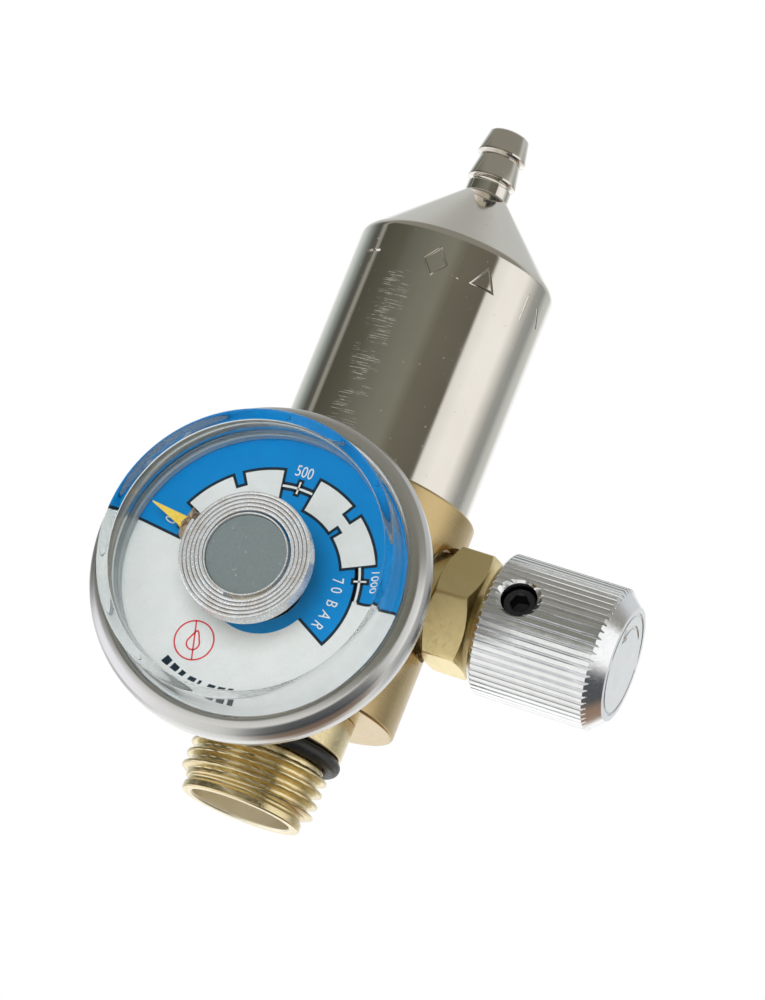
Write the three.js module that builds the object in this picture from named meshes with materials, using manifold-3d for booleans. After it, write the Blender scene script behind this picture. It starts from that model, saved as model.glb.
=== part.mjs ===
// Fixed-flow gas regulator for a small screw-on cylinder.
// Millimetres, +Z up. The main axis is Z: inlet thread at the bottom, hose barb on top.
// The pressure gauge looks towards -Y and the on/off knob points towards +X.
// The origin is on the main axis, in the shoulder that the inlet O-ring seals against.

import * as THREE from 'three';
import { mergeVertices } from 'three/addons/utils/BufferGeometryUtils.js';
import Module from 'manifold-3d';

const wasm = await Module();
wasm.setup();

// ---------- driving dimensions ----------

const ROUND = 32;               // facets round a large turned piece
const SMALL_ROUND = 16;         // facets round a small turned piece
const RING_ROUND = 24;          // facets round a seal or a piece of middling size
const SLACK = 0.05;             // gap between two flat faces that rest on each other

// inlet, 5/8"-18 UNF
const MOUTH_Z = -9.1;
const MOUTH_BORE_R = 5.8;
const PILOT_R = 7.0;
const THREAD_R = 7.94;
const THREAD_ROOT_R = 7.1;
const THREAD_PITCH = 25.4 / 18;
const THREAD_TURNS = 4;
const ORING_GROOVE_R = 6.9;
const ORING_GROOVE_WIDTH = 1.85;
const NECK_R = 8.5;
const FILTER_POCKET_R = 3.5;
const FILTER_POCKET_Z = -3.1;
const CREST_START = 0.4;        // where the crest's flat begins, as a share of the pitch
const CREST_END = 0.6;
const INLET_CHAMFER = 0.25;
const MOUTH_BEVEL = 0.2;
const DRAIN_R = 1.5;            // hole through the nipple, above the filter
const ORING_CENTRE_R = 7.87;
const ORING_SECTION_R = 0.88;
const ORING_Z = -0.93;

// depressor, filter and the ring that holds them
const PIN_R = 1.0;
const PIN_LOW = -5.0;
const PIN_CHAMFER = 0.2;
const PLATE_R = 3.3;
const PLATE_LOW = -2.5;
const PLATE_THICKNESS = 0.6;
const PLATE_HOLES = 3;
const PLATE_HOLE_R = 0.6;
const PLATE_HOLE_PLACE_R = 2.15;
const FILTER_LOW = -1.8;
const FILTER_HIGH = -0.1;
const RETAINING_RING_R = 3.35;
const RETAINING_RING_HOLE_R = 2.7;
const RETAINING_RING_LOW = -3.0;
const RETAINING_RING_HIGH = -2.6;

// body
const BODY_R = 13.0;
const BODY_BOTTOM_Z = 4.4;
const BODY_TOP_Z = 30.5;
const BODY_CHAMFER = 0.45;
const STUB_R = 6.7;
const STUB_TOP_Z = 9.6;
const SPIGOT_R = 9.9;
const SPIGOT_TOP_Z = 35.5;
const STEM_BORE_R = 3.3;
const STEM_BORE_BOTTOM_Z = 26.2;
const STUB_CHAMFER = 0.4;
const STUB_HOLE_R = 7.0;
const SPIGOT_CHAMFER = 0.4;
const BONNET_SEAL_GROOVE_R = 8.75;
const BONNET_SEAL_LOW = 32.6;
const BONNET_SEAL_HIGH = 34.2;
const STEM_SEAL_GROOVE_R = 4.3;
const STEM_SEAL_LOW = 31.0;
const STEM_SEAL_HIGH = 32.6;
const INLET_PASSAGE_R = 1.4;
const GAUGE_PASSAGE_R = 1.2;
const FEED_HOLE_R = 0.9;
const FEED_HOLE_END_X = 5.0;
const SEAT_HOLE_R = 1.1;
const RISER_R = 1.0;
const RISER_TOP_Z = 23;
const NOZZLE_POCKET_R = 2.65;
const NOZZLE_POCKET_LOW = 22.5;
const NOZZLE_POCKET_HIGH = 27.0;

// nozzle that the piston closes
const NOZZLE_R = 2.4;
const NOZZLE_BORE_R = 0.5;
const NOZZLE_LOW = 22.6;
const NOZZLE_SHOULDER = 25.8;
const NOZZLE_CONE_R = 1.3;
const NOZZLE_LIP_R = 0.9;
const NOZZLE_TIP = 27.2;

// bonnet and outlet
const BONNET_R = 11.76;
const BONNET_BORE_R = 10.2;
const CONE_TIP_Z = 70.86;       // the 45 degree cone would end here
const CONE_TOP_R = 2.75;
const BARB_HOLE_R = 2.3;
const BARB_SHANK_R = 2.1;
const BARB_BORE_R = 1.2;
const BARB_TIP_Z = 76.3;
const BARB_LOW_Z = 58.4;
const BARB_COLLAR_R = 2.6;
const BARB_COLLAR_HEIGHT = 1.4;
const BARB_EDGE_R = 2.9;
const BARB_ROOT_R = 2.4;
const BARB_UNDERCUT_R = 2.35;
const BARB_TIP_R = 2.2;
const BARB_EDGES_Z = [70.15, 73.4];
const BARB_ROOTS_Z = [73.1, 76.1];
const EDGE_DROP = 0.2;
const SHOULDER_ROUNDING = 0.45;
const BONNET_CHAMFER = 0.2;
const OUTLET_HOLE_R = 1.2;
const OUTLET_POCKET_Z = 57.0;
const BONNET_CEILING_Z = 53.6;
const BONNET_CEILING_R = 8.8;
const VENT_R = 0.5;
const VENT_Z = 40;
const ORIFICE_R = 0.25;
const ORIFICE_LOW = 57.05;
const ORIFICE_HIGH = 58.2;

// piston
const PISTON_HEAD_R = 9.9;
const PISTON_HEAD_BOTTOM_Z = 46.5;
const PISTON_HEAD_TOP_Z = 52.0;
const PISTON_STEM_R = 3.0;
const PISTON_STEM_BOTTOM_Z = 27.9;
const SPRING_R = 6.8;
const SPRING_WIRE_R = 0.75;
const SPRING_TURNS = 5.5;
const SPRING_GAP = 0.1;
const PISTON_END_R = 2.5;       // the stem's turned-down end, inside the nozzle's bore
const PISTON_END_Z = 30.2;
const PISTON_GROOVE_R = 8.6;
const PISTON_GROOVE_LOW = 48.3;
const PISTON_GROOVE_HIGH = 50.1;
const PAD_R = 1.6;
const PAD_LOW = 27.7;
const PAD_HIGH = 28.75;
const PAD_POCKET_R = 1.8;
const PAD_POCKET_DEPTH = 0.9;
const GAS_HOLE_R = 0.9;
const GAS_HOLE_LOW = 29.4;
const CROSS_HOLE_R = 0.5;
const CROSS_HOLE_Z = 29.8;

// gauge: distances are measured forwards from the main axis
const GAUGE_Z = 11.87;
const GAUGE_PORT_R = 4.86;
const GAUGE_STEM_R = 4.6;
const GAUGE_POST_R = 4.5;
const GAUGE_STEM_LOW = 8.3;
const SPANNER_FLATS = 11;
const SPANNER_LOW = 13.4;
const GAUGE_POST_TOP = 29.8;
const GAUGE_BORE_R = 0.8;
const COIL_FEED = 28.8;          // where the gas leaves the post for the coil
const COIL_FEED_R = 0.2;
const CASE_R = 16.6;
const CASE_BACK = 16.0;
const CASE_HOLE_R = 4.75;
const CASE_FLOOR = 1.2;
const CASE_WALL = 0.7;
const CASE_CORNER = 1.2;
const CASE_FLANGE_R = 18.0;
const CASE_FLANGE_BACK = 21.0;
const CASE_RIM = 24.6;
const CASE_RIM_HOLE_R = 17.25;
const CASE_NUT_FLATS = 12.5;
const CASE_NUT_LOW = 17.25;
const CASE_NUT_HIGH = 19.6;
const DIAL_R = 17.1;
const DIAL_HOLE_R = 4.8;
const DIAL_LEDGE = 21.6;
const DIAL_THICKNESS = 0.7;
const DIAL_FACE = 22.35;
const GASKET_HOLE_R = 16.45;
const GASKET_FRONT = 23.55;
const BEZEL_R = 18.85;
const LENS_R = 16.2;
const LENS_HOLE_R = 15.1;
const LENS_WALL = 1.1;
const LENS_BACK = 23.6;
const LENS_FLANGE_R = 17.1;
const LENS_FLANGE_FRONT = 24.9;
const LENS_FRONT = 32.5;
const LENS_CORNER_R = 1.4;
const LENS_HOLE_CHAMFER = 0.6;
const COIL_BACK = 28.6;
const COIL_FRONT = 30.9;
const COIL_R = 7.35;
const COIL_PITCH = 0.44;
const COIL_STRIP = 0.3;
const COIL_GAP = 0.15;
const CAP_R = 4.45;
const CAP_BACK = 29.85;
const CAP_FRONT = 30.4;
const POINTER_BACK = 24.9;
const POINTER_THICKNESS = 0.3;
const POINTER_INNER_R = 7.45;
const POINTER_SHOULDER_R = 9.9;
const POINTER_TIP_R = 14.6;
const POINTER_HALF_WIDTH = 0.8;
const SHOULDER_HALF_WIDTH = 0.7;
const TIP_HALF_WIDTH = 0.08;
const FOOT_THICKNESS = 0.35;
const FOOT_HEIGHT = 5.0;
const POINTER_ZERO_ANGLE = THREE.MathUtils.degToRad(75);

// on/off valve: distances are measured outwards from the main axis
const VALVE_Z = 20.24;
const CHAMBER_R = 3.6;
const SEAT_X = 3.6;
const SPOTFACE_X = 11.0;
const NUT_ACROSS_FLATS = 13.0;
const NUT_START = 13.4;
const NUT_END = 18.4;
const STEM_R = 2.5;
const KNOB_R = 8.24;
const KNOB_START = 19.4;
const KNOB_END = 35.15;
const GLAND_HOLE_R = 4.95;
const SPOTFACE_R = 6.7;
const GLAND_LOW = 7.3;
const GLAND_R = 4.7;
const GLAND_COLLAR_R = 6.0;
const GLAND_COLLAR_START = 11.8;
const GLAND_SEAL_R = 3.8;
const GLAND_SEAL_END = 10.4;
const STEM_FLANGE_R = 3.3;
const STEM_FLANGE_START = 5.0;
const STEM_FLANGE_END = 6.8;
const STEM_SOCKET_R = 1.15;
const STEM_SOCKET_END = 6.2;
const STEM_END = 32.1;
const STEM_CHAMFER = 0.4;
const VALVE_PAD_R = 2.2;
const VALVE_PAD_END = 4.85;
const VALVE_PIN_R = 0.85;
const VALVE_PIN_END = 5.9;
const KNOB_BORE_END = 32.4;
const KNOB_INNER_CHAMFER = [0.8, 0.7];
const KNOB_OUTER_CHAMFER = [1.65, 1.8];
const SET_SCREW_HOLE_R = 2.05;
const SET_SCREW_R = 1.85;
const SET_SCREW_START = 2.85;
const SET_SCREW_END = 6.85;
const SET_SCREW_SOCKET_FLATS = 2.0;
const SET_SCREW_SOCKET_START = 4.8;
const SET_SCREW_X = 23.3;
const SET_SCREW_ANGLE = THREE.MathUtils.degToRad(12.4);

// ---------- materials ----------

function finish(color, roughness, metalness) {
  return new THREE.MeshStandardMaterial({ color, roughness, metalness });
}

const nickel = finish(0xa9a79e, 0.22, 1.0);
const bodyBrass = finish(0xc7b184, 0.35, 1.0);
const yellowBrass = finish(0xd6b866, 0.28, 1.0);
const aluminium = finish(0xd4d6da, 0.32, 1.0);
const stainless = finish(0xb9bbbe, 0.3, 1.0);
const springSteel = finish(0x8f9296, 0.35, 1.0);
const blackSteel = finish(0x17181a, 0.5, 0.6);
const rubber = finish(0x1b1c1d, 0.75, 0.0);
const polymer = finish(0xe8e4da, 0.5, 0.0);
const sintered = finish(0xa8793f, 0.8, 0.7);
const clearPlastic = finish(0xe9f2f6, 0.08, 0.0);
const dialPaint = finish(0x0b7fca, 0.5, 0.0);
const capPaint = finish(0x7d8784, 0.6, 0.0);
const coilMetal = finish(0xc4c0b8, 0.3, 1.0);
const pointerPaint = finish(0xf0c53a, 0.5, 0.0);

// ---------- geometry helpers ----------

// Keeps only merged positions, drops triangles of no area and turns the faces outwards.
function closedSurface(source) {
  const plain = source.clone();
  plain.deleteAttribute('normal');
  plain.deleteAttribute('uv');
  const merged = mergeVertices(plain, 1e-4);
  const position = merged.getAttribute('position');
  const index = merged.getIndex().array;
  const kept = [];
  const a = new THREE.Vector3();
  const b = new THREE.Vector3();
  const c = new THREE.Vector3();
  let volume = 0;
  for (let i = 0; i < index.length; i += 3) {
    const [ia, ib, ic] = [index[i], index[i + 1], index[i + 2]];
    if (ia === ib || ib === ic || ic === ia) continue;
    kept.push(ia, ib, ic);
    a.fromBufferAttribute(position, ia);
    b.fromBufferAttribute(position, ib);
    c.fromBufferAttribute(position, ic);
    volume += a.dot(b.cross(c));
  }
  if (volume < 0) kept.reverse();
  const result = new THREE.BufferGeometry();
  result.setAttribute('position', position);
  result.setIndex(kept);
  return result;
}

function toManifold(geometry) {
  return new wasm.Manifold(new wasm.Mesh({
    numProp: 3,
    vertProperties: new Float32Array(geometry.getAttribute('position').array),
    triVerts: new Uint32Array(geometry.getIndex().array),
  }));
}

function fromManifold(manifold) {
  const mesh = manifold.getMesh();
  const result = new THREE.BufferGeometry();
  result.setAttribute('position', new THREE.BufferAttribute(mesh.vertProperties, 3));
  result.setIndex(new THREE.BufferAttribute(mesh.triVerts, 1));
  return result;
}

function cut(base, ...tools) {
  const start = toManifold(base);
  return fromManifold(tools.reduce((body, tool) => body.subtract(toManifold(tool)), start));
}

function join(base, ...others) {
  const start = toManifold(base);
  return fromManifold(others.reduce((body, other) => body.add(toManifold(other)), start));
}

function common(base, other) {
  return fromManifold(toManifold(base).intersect(toManifold(other)));
}

// Turns a profile of [radius, height] points about Z.
function turned(profile, facets = ROUND) {
  const points = profile.map(([r, z]) => new THREE.Vector2(r, z));
  const lathe = new THREE.LatheGeometry(points, facets);
  lathe.rotateX(Math.PI / 2);
  return closedSurface(lathe);
}

// Closes a profile that stays off the axis.
function turnedRing(profile, facets = ROUND) {
  return turned([...profile, profile[0]], facets);
}

function rod(radius, low, high, facets = SMALL_ROUND) {
  return turned([[0, low], [radius, low], [radius, high], [0, high]], facets);
}

function washer(inner, outer, low, high, facets = RING_ROUND) {
  return turnedRing([[inner, low], [outer, low], [outer, high], [inner, high]], facets);
}

function oRing(centreR, sectionR, z, facets = ROUND) {
  const sides = 6;
  const profile = [];
  for (let i = 0; i < sides; i += 1) {
    const angle = (i * 2 * Math.PI) / sides;
    profile.push([centreR + sectionR * Math.cos(angle), z + sectionR * Math.sin(angle)]);
  }
  return turnedRing(profile, facets);
}

// A hexagonal prism along Z with one corner towards -Y.
function hexPrism(acrossFlats, low, high) {
  const cornerR = acrossFlats / Math.sqrt(3);
  const prism = new THREE.CylinderGeometry(cornerR, cornerR, high - low, 6);
  prism.rotateX(Math.PI / 2);
  prism.translate(0, 0, (low + high) / 2);
  return closedSurface(prism);
}

// Rounds the corners of a hexagon's two ends with a 30 degree chamfer.
function chamferedHex(acrossFlats, low, high) {
  const flatR = acrossFlats / 2;
  const cornerR = acrossFlats / Math.sqrt(3) + 0.01;
  const depth = (cornerR - flatR) * Math.tan(Math.PI / 6);
  const turnedBlank = turned([
    [0, low],
    [flatR, low],
    [cornerR, low + depth],
    [cornerR, high - depth],
    [flatR, high],
    [0, high],
  ]);
  return common(hexPrism(acrossFlats, low, high), turnedBlank);
}

// A round hole between two points.
function drill(from, to, radius) {
  const start = new THREE.Vector3(...from);
  const run = new THREE.Vector3(...to).sub(start);
  const tool = rod(radius, 0, run.length());
  const way = run.clone().normalize();
  tool.applyQuaternion(new THREE.Quaternion().setFromUnitVectors(new THREE.Vector3(0, 0, 1), way));
  tool.translate(start.x, start.y, start.z);
  return tool;
}

function node(name, geometry, material) {
  const mesh = new THREE.Mesh(geometry, material);
  mesh.name = name;
  return mesh;
}

// ---------- inlet ----------

function inletNippleGeometry() {
  const outside = [
    [DRAIN_R, STUB_TOP_Z],
    [STUB_R - STUB_CHAMFER, STUB_TOP_Z],
    [STUB_R, STUB_TOP_Z - STUB_CHAMFER],
    [STUB_R, BODY_BOTTOM_Z],
    [NECK_R, BODY_BOTTOM_Z],
    [NECK_R, INLET_CHAMFER],
    [NECK_R - INLET_CHAMFER, 0],
    [ORING_GROOVE_R, 0],
    [ORING_GROOVE_R, -ORING_GROOVE_WIDTH],
  ];
  const thread = [];
  for (let turn = 0; turn < THREAD_TURNS; turn += 1) {
    const top = -ORING_GROOVE_WIDTH - turn * THREAD_PITCH;
    thread.push([THREAD_ROOT_R, top]);
    thread.push([THREAD_R, top - CREST_START * THREAD_PITCH]);
    thread.push([THREAD_R, top - CREST_END * THREAD_PITCH]);
  }
  const threadEnd = -ORING_GROOVE_WIDTH - THREAD_TURNS * THREAD_PITCH;
  const inside = [
    [PILOT_R, threadEnd],
    [PILOT_R, MOUTH_Z + INLET_CHAMFER],
    [PILOT_R - INLET_CHAMFER, MOUTH_Z],
    [MOUTH_BORE_R + MOUTH_BEVEL, MOUTH_Z],
    [MOUTH_BORE_R, MOUTH_Z + MOUTH_BEVEL],
    [MOUTH_BORE_R, FILTER_POCKET_Z],
    [FILTER_POCKET_R, FILTER_POCKET_Z],
    [FILTER_POCKET_R, 0],
    [DRAIN_R, 0],
  ];
  return turnedRing([...outside, ...thread, ...inside]);
}

function depressorPinGeometry() {
  const plateHigh = PLATE_LOW + PLATE_THICKNESS;
  const pin = turned([
    [0, PIN_LOW],
    [PIN_R - PIN_CHAMFER, PIN_LOW],
    [PIN_R, PIN_LOW + PIN_CHAMFER],
    [PIN_R, PLATE_LOW],
    [PLATE_R, PLATE_LOW],
    [PLATE_R, plateHigh],
    [0, plateHigh],
  ], SMALL_ROUND);
  const holes = [];
  for (let i = 0; i < PLATE_HOLES; i += 1) {
    const angle = (i * 2 * Math.PI) / PLATE_HOLES;
    const x = PLATE_HOLE_PLACE_R * Math.cos(angle);
    const y = PLATE_HOLE_PLACE_R * Math.sin(angle);
    holes.push(drill([x, y, PLATE_LOW - 1], [x, y, plateHigh + 1], PLATE_HOLE_R));
  }
  return cut(pin, ...holes);
}

function retainingRingGeometry() {
  return washer(
    RETAINING_RING_HOLE_R,
    RETAINING_RING_R,
    RETAINING_RING_LOW,
    RETAINING_RING_HIGH,
    SMALL_ROUND,
  );
}

function inletPieces() {
  return [
    node('inlet_nipple', inletNippleGeometry(), yellowBrass),
    node('inlet_oring', oRing(ORING_CENTRE_R, ORING_SECTION_R, ORING_Z), rubber),
    node('filter_retaining_ring', retainingRingGeometry(), springSteel),
    node('depressor_pin', depressorPinGeometry(), yellowBrass),
    node('inlet_filter', rod(PLATE_R, FILTER_LOW, FILTER_HIGH), sintered),
  ];
}

// ---------- body ----------

function valveBodyGeometry() {
  const blank = turned([
    [0, BODY_BOTTOM_Z],
    [BODY_R - BODY_CHAMFER, BODY_BOTTOM_Z],
    [BODY_R, BODY_BOTTOM_Z + BODY_CHAMFER],
    [BODY_R, BODY_TOP_Z - BODY_CHAMFER],
    [BODY_R - BODY_CHAMFER, BODY_TOP_Z],
    [SPIGOT_R, BODY_TOP_Z],
    [SPIGOT_R, BONNET_SEAL_LOW],
    [BONNET_SEAL_GROOVE_R, BONNET_SEAL_LOW],
    [BONNET_SEAL_GROOVE_R, BONNET_SEAL_HIGH],
    [SPIGOT_R, BONNET_SEAL_HIGH],
    [SPIGOT_R, SPIGOT_TOP_Z - SPIGOT_CHAMFER],
    [SPIGOT_R - SPIGOT_CHAMFER, SPIGOT_TOP_Z],
    [0, SPIGOT_TOP_Z],
  ]);
  const inletHole = rod(STUB_HOLE_R, BODY_BOTTOM_Z - 1, STUB_TOP_Z + 0.2);
  const inletPassage = rod(INLET_PASSAGE_R, STUB_TOP_Z, GAUGE_Z + 0.8);
  const gaugePort = drill([0, -8, GAUGE_Z], [0, -BODY_R - 2, GAUGE_Z], GAUGE_PORT_R);
  const gaugePassage = drill([0, 0.6, GAUGE_Z], [0, -8.5, GAUGE_Z], GAUGE_PASSAGE_R);
  const feedStart = [1.0, 0, STUB_TOP_Z - 0.6];
  const feedHole = drill(feedStart, [FEED_HOLE_END_X, 0, VALVE_Z - 2.6], FEED_HOLE_R);
  const chamber = drill([SEAT_X, 0, VALVE_Z], [8, 0, VALVE_Z], CHAMBER_R);
  const glandHole = drill([7, 0, VALVE_Z], [SPOTFACE_X + 1, 0, VALVE_Z], GLAND_HOLE_R);
  const spotface = drill([SPOTFACE_X, 0, VALVE_Z], [BODY_R + 2, 0, VALVE_Z], SPOTFACE_R);
  const seatHole = drill([-0.5, 0, VALVE_Z], [SEAT_X + 0.5, 0, VALVE_Z], SEAT_HOLE_R);
  const riser = rod(RISER_R, VALVE_Z - 0.4, RISER_TOP_Z);
  const nozzlePocket = rod(NOZZLE_POCKET_R, NOZZLE_POCKET_LOW, NOZZLE_POCKET_HIGH);
  const stemBore = rod(STEM_BORE_R, STEM_BORE_BOTTOM_Z, SPIGOT_TOP_Z + 1);
  const stemSealGroove = rod(STEM_SEAL_GROOVE_R, STEM_SEAL_LOW, STEM_SEAL_HIGH);
  return cut(
    blank,
    inletHole,
    inletPassage,
    gaugePort,
    gaugePassage,
    feedHole,
    chamber,
    glandHole,
    spotface,
    seatHole,
    riser,
    nozzlePocket,
    stemBore,
    stemSealGroove,
  );
}

function seatNozzleGeometry() {
  return turnedRing([
    [NOZZLE_BORE_R, NOZZLE_LOW],
    [NOZZLE_R, NOZZLE_LOW],
    [NOZZLE_R, NOZZLE_SHOULDER],
    [NOZZLE_CONE_R, NOZZLE_SHOULDER],
    [NOZZLE_LIP_R, NOZZLE_TIP],
    [NOZZLE_BORE_R, NOZZLE_TIP],
  ], SMALL_ROUND);
}

function bodyPieces() {
  return [
    node('valve_body', valveBodyGeometry(), bodyBrass),
    node('seat_nozzle', seatNozzleGeometry(), yellowBrass),
    node('piston_stem_oring', oRing(3.66, 0.58, 31.8, SMALL_ROUND), rubber),
    node('bonnet_oring', oRing(9.43, 0.62, 33.4), rubber),
  ];
}

// ---------- piston and spring ----------

function pistonGeometry() {
  const blank = turned([
    [0, PISTON_STEM_BOTTOM_Z],
    [PISTON_END_R, PISTON_STEM_BOTTOM_Z],
    [PISTON_END_R, PISTON_END_Z],
    [PISTON_STEM_R, PISTON_END_Z + 0.3],
    [PISTON_STEM_R, PISTON_HEAD_BOTTOM_Z],
    [PISTON_HEAD_R, PISTON_HEAD_BOTTOM_Z],
    [PISTON_HEAD_R, PISTON_GROOVE_LOW],
    [PISTON_GROOVE_R, PISTON_GROOVE_LOW],
    [PISTON_GROOVE_R, PISTON_GROOVE_HIGH],
    [PISTON_HEAD_R, PISTON_GROOVE_HIGH],
    [PISTON_HEAD_R, PISTON_HEAD_TOP_Z],
    [0, PISTON_HEAD_TOP_Z],
  ]);
  const pocketTop = PISTON_STEM_BOTTOM_Z + PAD_POCKET_DEPTH;
  const padPocket = rod(PAD_POCKET_R, PISTON_STEM_BOTTOM_Z - 1, pocketTop);
  const gasHole = rod(GAS_HOLE_R, GAS_HOLE_LOW, PISTON_HEAD_TOP_Z + 1);
  const crossHole = drill([-4, 0, CROSS_HOLE_Z], [4, 0, CROSS_HOLE_Z], CROSS_HOLE_R);
  return cut(blank, padPocket, gasHole, crossHole);
}

class Helix extends THREE.Curve {
  constructor(radius, low, high, turns) {
    super();
    this.radius = radius;
    this.low = low;
    this.high = high;
    this.turns = turns;
  }

  getPoint(t, target = new THREE.Vector3()) {
    const angle = t * this.turns * 2 * Math.PI;
    const z = this.low + t * (this.high - this.low);
    return target.set(this.radius * Math.cos(angle), this.radius * Math.sin(angle), z);
  }
}

function springGeometry() {
  const section = new THREE.Shape();
  const sides = 5;
  for (let i = 0; i < sides; i += 1) {
    const angle = (i * 2 * Math.PI) / sides;
    const x = SPRING_WIRE_R * Math.cos(angle);
    const y = SPRING_WIRE_R * Math.sin(angle);
    if (i === 0) section.moveTo(x, y);
    else section.lineTo(x, y);
  }
  const low = SPIGOT_TOP_Z + SPRING_WIRE_R + SPRING_GAP;
  const high = PISTON_HEAD_BOTTOM_Z - SPRING_WIRE_R - SPRING_GAP;
  const path = new Helix(SPRING_R, low, high, SPRING_TURNS);
  const steps = Math.round(SPRING_TURNS * 14);
  return closedSurface(new THREE.ExtrudeGeometry(section, { steps, extrudePath: path }));
}

function pistonPieces() {
  return [
    node('piston', pistonGeometry(), yellowBrass),
    node('piston_seat_pad', rod(PAD_R, PAD_LOW, PAD_HIGH), polymer),
    node('piston_oring', oRing(9.36, 0.68, 49.2), rubber),
    node('piston_spring', springGeometry(), springSteel),
  ];
}

// ---------- bonnet and outlet ----------

function bonnetGeometry() {
  const coneZ = (r) => CONE_TIP_Z - r;
  const blank = turnedRing([
    [BONNET_BORE_R, BODY_TOP_Z + SLACK],
    [BONNET_R - BONNET_CHAMFER, BODY_TOP_Z + SLACK],
    [BONNET_R, BODY_TOP_Z + SLACK + BONNET_CHAMFER],
    [BONNET_R, coneZ(BONNET_R) - SHOULDER_ROUNDING],
    [BONNET_R - 0.3 * SHOULDER_ROUNDING, coneZ(BONNET_R) - 0.3 * SHOULDER_ROUNDING],
    [BONNET_R - SHOULDER_ROUNDING, coneZ(BONNET_R - SHOULDER_ROUNDING)],
    [CONE_TOP_R, coneZ(CONE_TOP_R)],
    [BARB_HOLE_R, coneZ(CONE_TOP_R)],
    [BARB_HOLE_R, OUTLET_POCKET_Z],
    [OUTLET_HOLE_R, OUTLET_POCKET_Z],
    [OUTLET_HOLE_R, BONNET_CEILING_Z],
    [BONNET_CEILING_R, BONNET_CEILING_Z],
    [BONNET_CEILING_R, PISTON_HEAD_TOP_Z + 0.1],
    [BONNET_BORE_R, PISTON_HEAD_TOP_Z + 0.1],
  ]);
  const ventHole = drill([0, 9, VENT_Z], [0, BONNET_R + 1, VENT_Z], VENT_R);
  return cut(blank, ventHole);
}

function hoseBarbGeometry() {
  const base = CONE_TIP_Z - CONE_TOP_R + SLACK;
  const barbs = BARB_EDGES_Z.flatMap((edgeZ, i) => [
    [BARB_UNDERCUT_R, edgeZ - EDGE_DROP],
    [BARB_EDGE_R, edgeZ],
    [BARB_ROOT_R, BARB_ROOTS_Z[i]],
  ]);
  return turnedRing([
    [BARB_BORE_R, BARB_LOW_Z],
    [BARB_SHANK_R, BARB_LOW_Z],
    [BARB_SHANK_R, base],
    [BARB_COLLAR_R, base],
    [BARB_COLLAR_R, base + BARB_COLLAR_HEIGHT],
    ...barbs,
    [BARB_TIP_R, BARB_TIP_Z],
    [BARB_BORE_R, BARB_TIP_Z],
  ], RING_ROUND);
}

function outletPieces() {
  const orifice = washer(ORIFICE_R, BARB_SHANK_R, ORIFICE_LOW, ORIFICE_HIGH, SMALL_ROUND);
  return [
    node('bonnet', bonnetGeometry(), nickel),
    node('flow_orifice', orifice, yellowBrass),
    node('hose_barb', hoseBarbGeometry(), nickel),
  ];
}

// ---------- gauge, built with its axis along Z and turned to face -Y ----------

function gaugeSocketGeometry() {
  const neckR = SPANNER_FLATS / 2 - 0.1;
  const spannerHigh = CASE_BACK - SLACK;
  const blank = turned([
    [0, GAUGE_STEM_LOW],
    [GAUGE_STEM_R - 0.3, GAUGE_STEM_LOW],
    [GAUGE_STEM_R, GAUGE_STEM_LOW + 0.3],
    [GAUGE_STEM_R, SPANNER_LOW],
    [neckR, SPANNER_LOW],
    [neckR, spannerHigh],
    [GAUGE_POST_R, spannerHigh],
    [GAUGE_POST_R, GAUGE_POST_TOP],
    [0, GAUGE_POST_TOP],
  ], RING_ROUND);
  const spanner = chamferedHex(SPANNER_FLATS, SPANNER_LOW, spannerHigh);
  const bore = rod(GAUGE_BORE_R, GAUGE_STEM_LOW - 1, GAUGE_POST_TOP - 0.8, 12);
  const coilFeed = drill([0, 0, COIL_FEED], [GAUGE_POST_R + 1, 0, COIL_FEED], COIL_FEED_R);
  return cut(join(blank, spanner), bore, coilFeed);
}

// A cup with a flange, which the bezel is rolled round.
function gaugeCaseGeometry() {
  const insideR = CASE_R - CASE_WALL;
  return turnedRing([
    [CASE_HOLE_R, CASE_BACK],
    [CASE_R - CASE_CORNER, CASE_BACK],
    [CASE_R - 0.3 * CASE_CORNER, CASE_BACK + 0.3 * CASE_CORNER],
    [CASE_R, CASE_BACK + CASE_CORNER],
    [CASE_R, CASE_FLANGE_BACK],
    [CASE_FLANGE_R, CASE_FLANGE_BACK],
    [CASE_FLANGE_R, CASE_RIM],
    [CASE_RIM_HOLE_R, CASE_RIM],
    [CASE_RIM_HOLE_R, DIAL_LEDGE],
    [insideR, DIAL_LEDGE],
    [insideR, CASE_BACK + CASE_FLOOR + CASE_WALL],
    [insideR - CASE_WALL, CASE_BACK + CASE_FLOOR],
    [CASE_HOLE_R, CASE_BACK + CASE_FLOOR],
  ]);
}

function lensGeometry() {
  const cornerSteps = 4;
  const corner = [];
  for (let i = 0; i <= cornerSteps; i += 1) {
    const angle = (i * Math.PI) / (2 * cornerSteps);
    corner.push([
      LENS_R - LENS_CORNER_R + LENS_CORNER_R * Math.cos(angle),
      LENS_FRONT - LENS_CORNER_R + LENS_CORNER_R * Math.sin(angle),
    ]);
  }
  return turned([
    [0, LENS_FRONT - LENS_WALL],
    [LENS_HOLE_R - LENS_HOLE_CHAMFER, LENS_FRONT - LENS_WALL],
    [LENS_HOLE_R, LENS_FRONT - LENS_WALL - LENS_HOLE_CHAMFER],
    [LENS_HOLE_R, LENS_BACK],
    [LENS_FLANGE_R, LENS_BACK],
    [LENS_FLANGE_R, LENS_FLANGE_FRONT],
    [LENS_R, LENS_FLANGE_FRONT],
    ...corner,
    [0, LENS_FRONT],
  ]);
}

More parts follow.
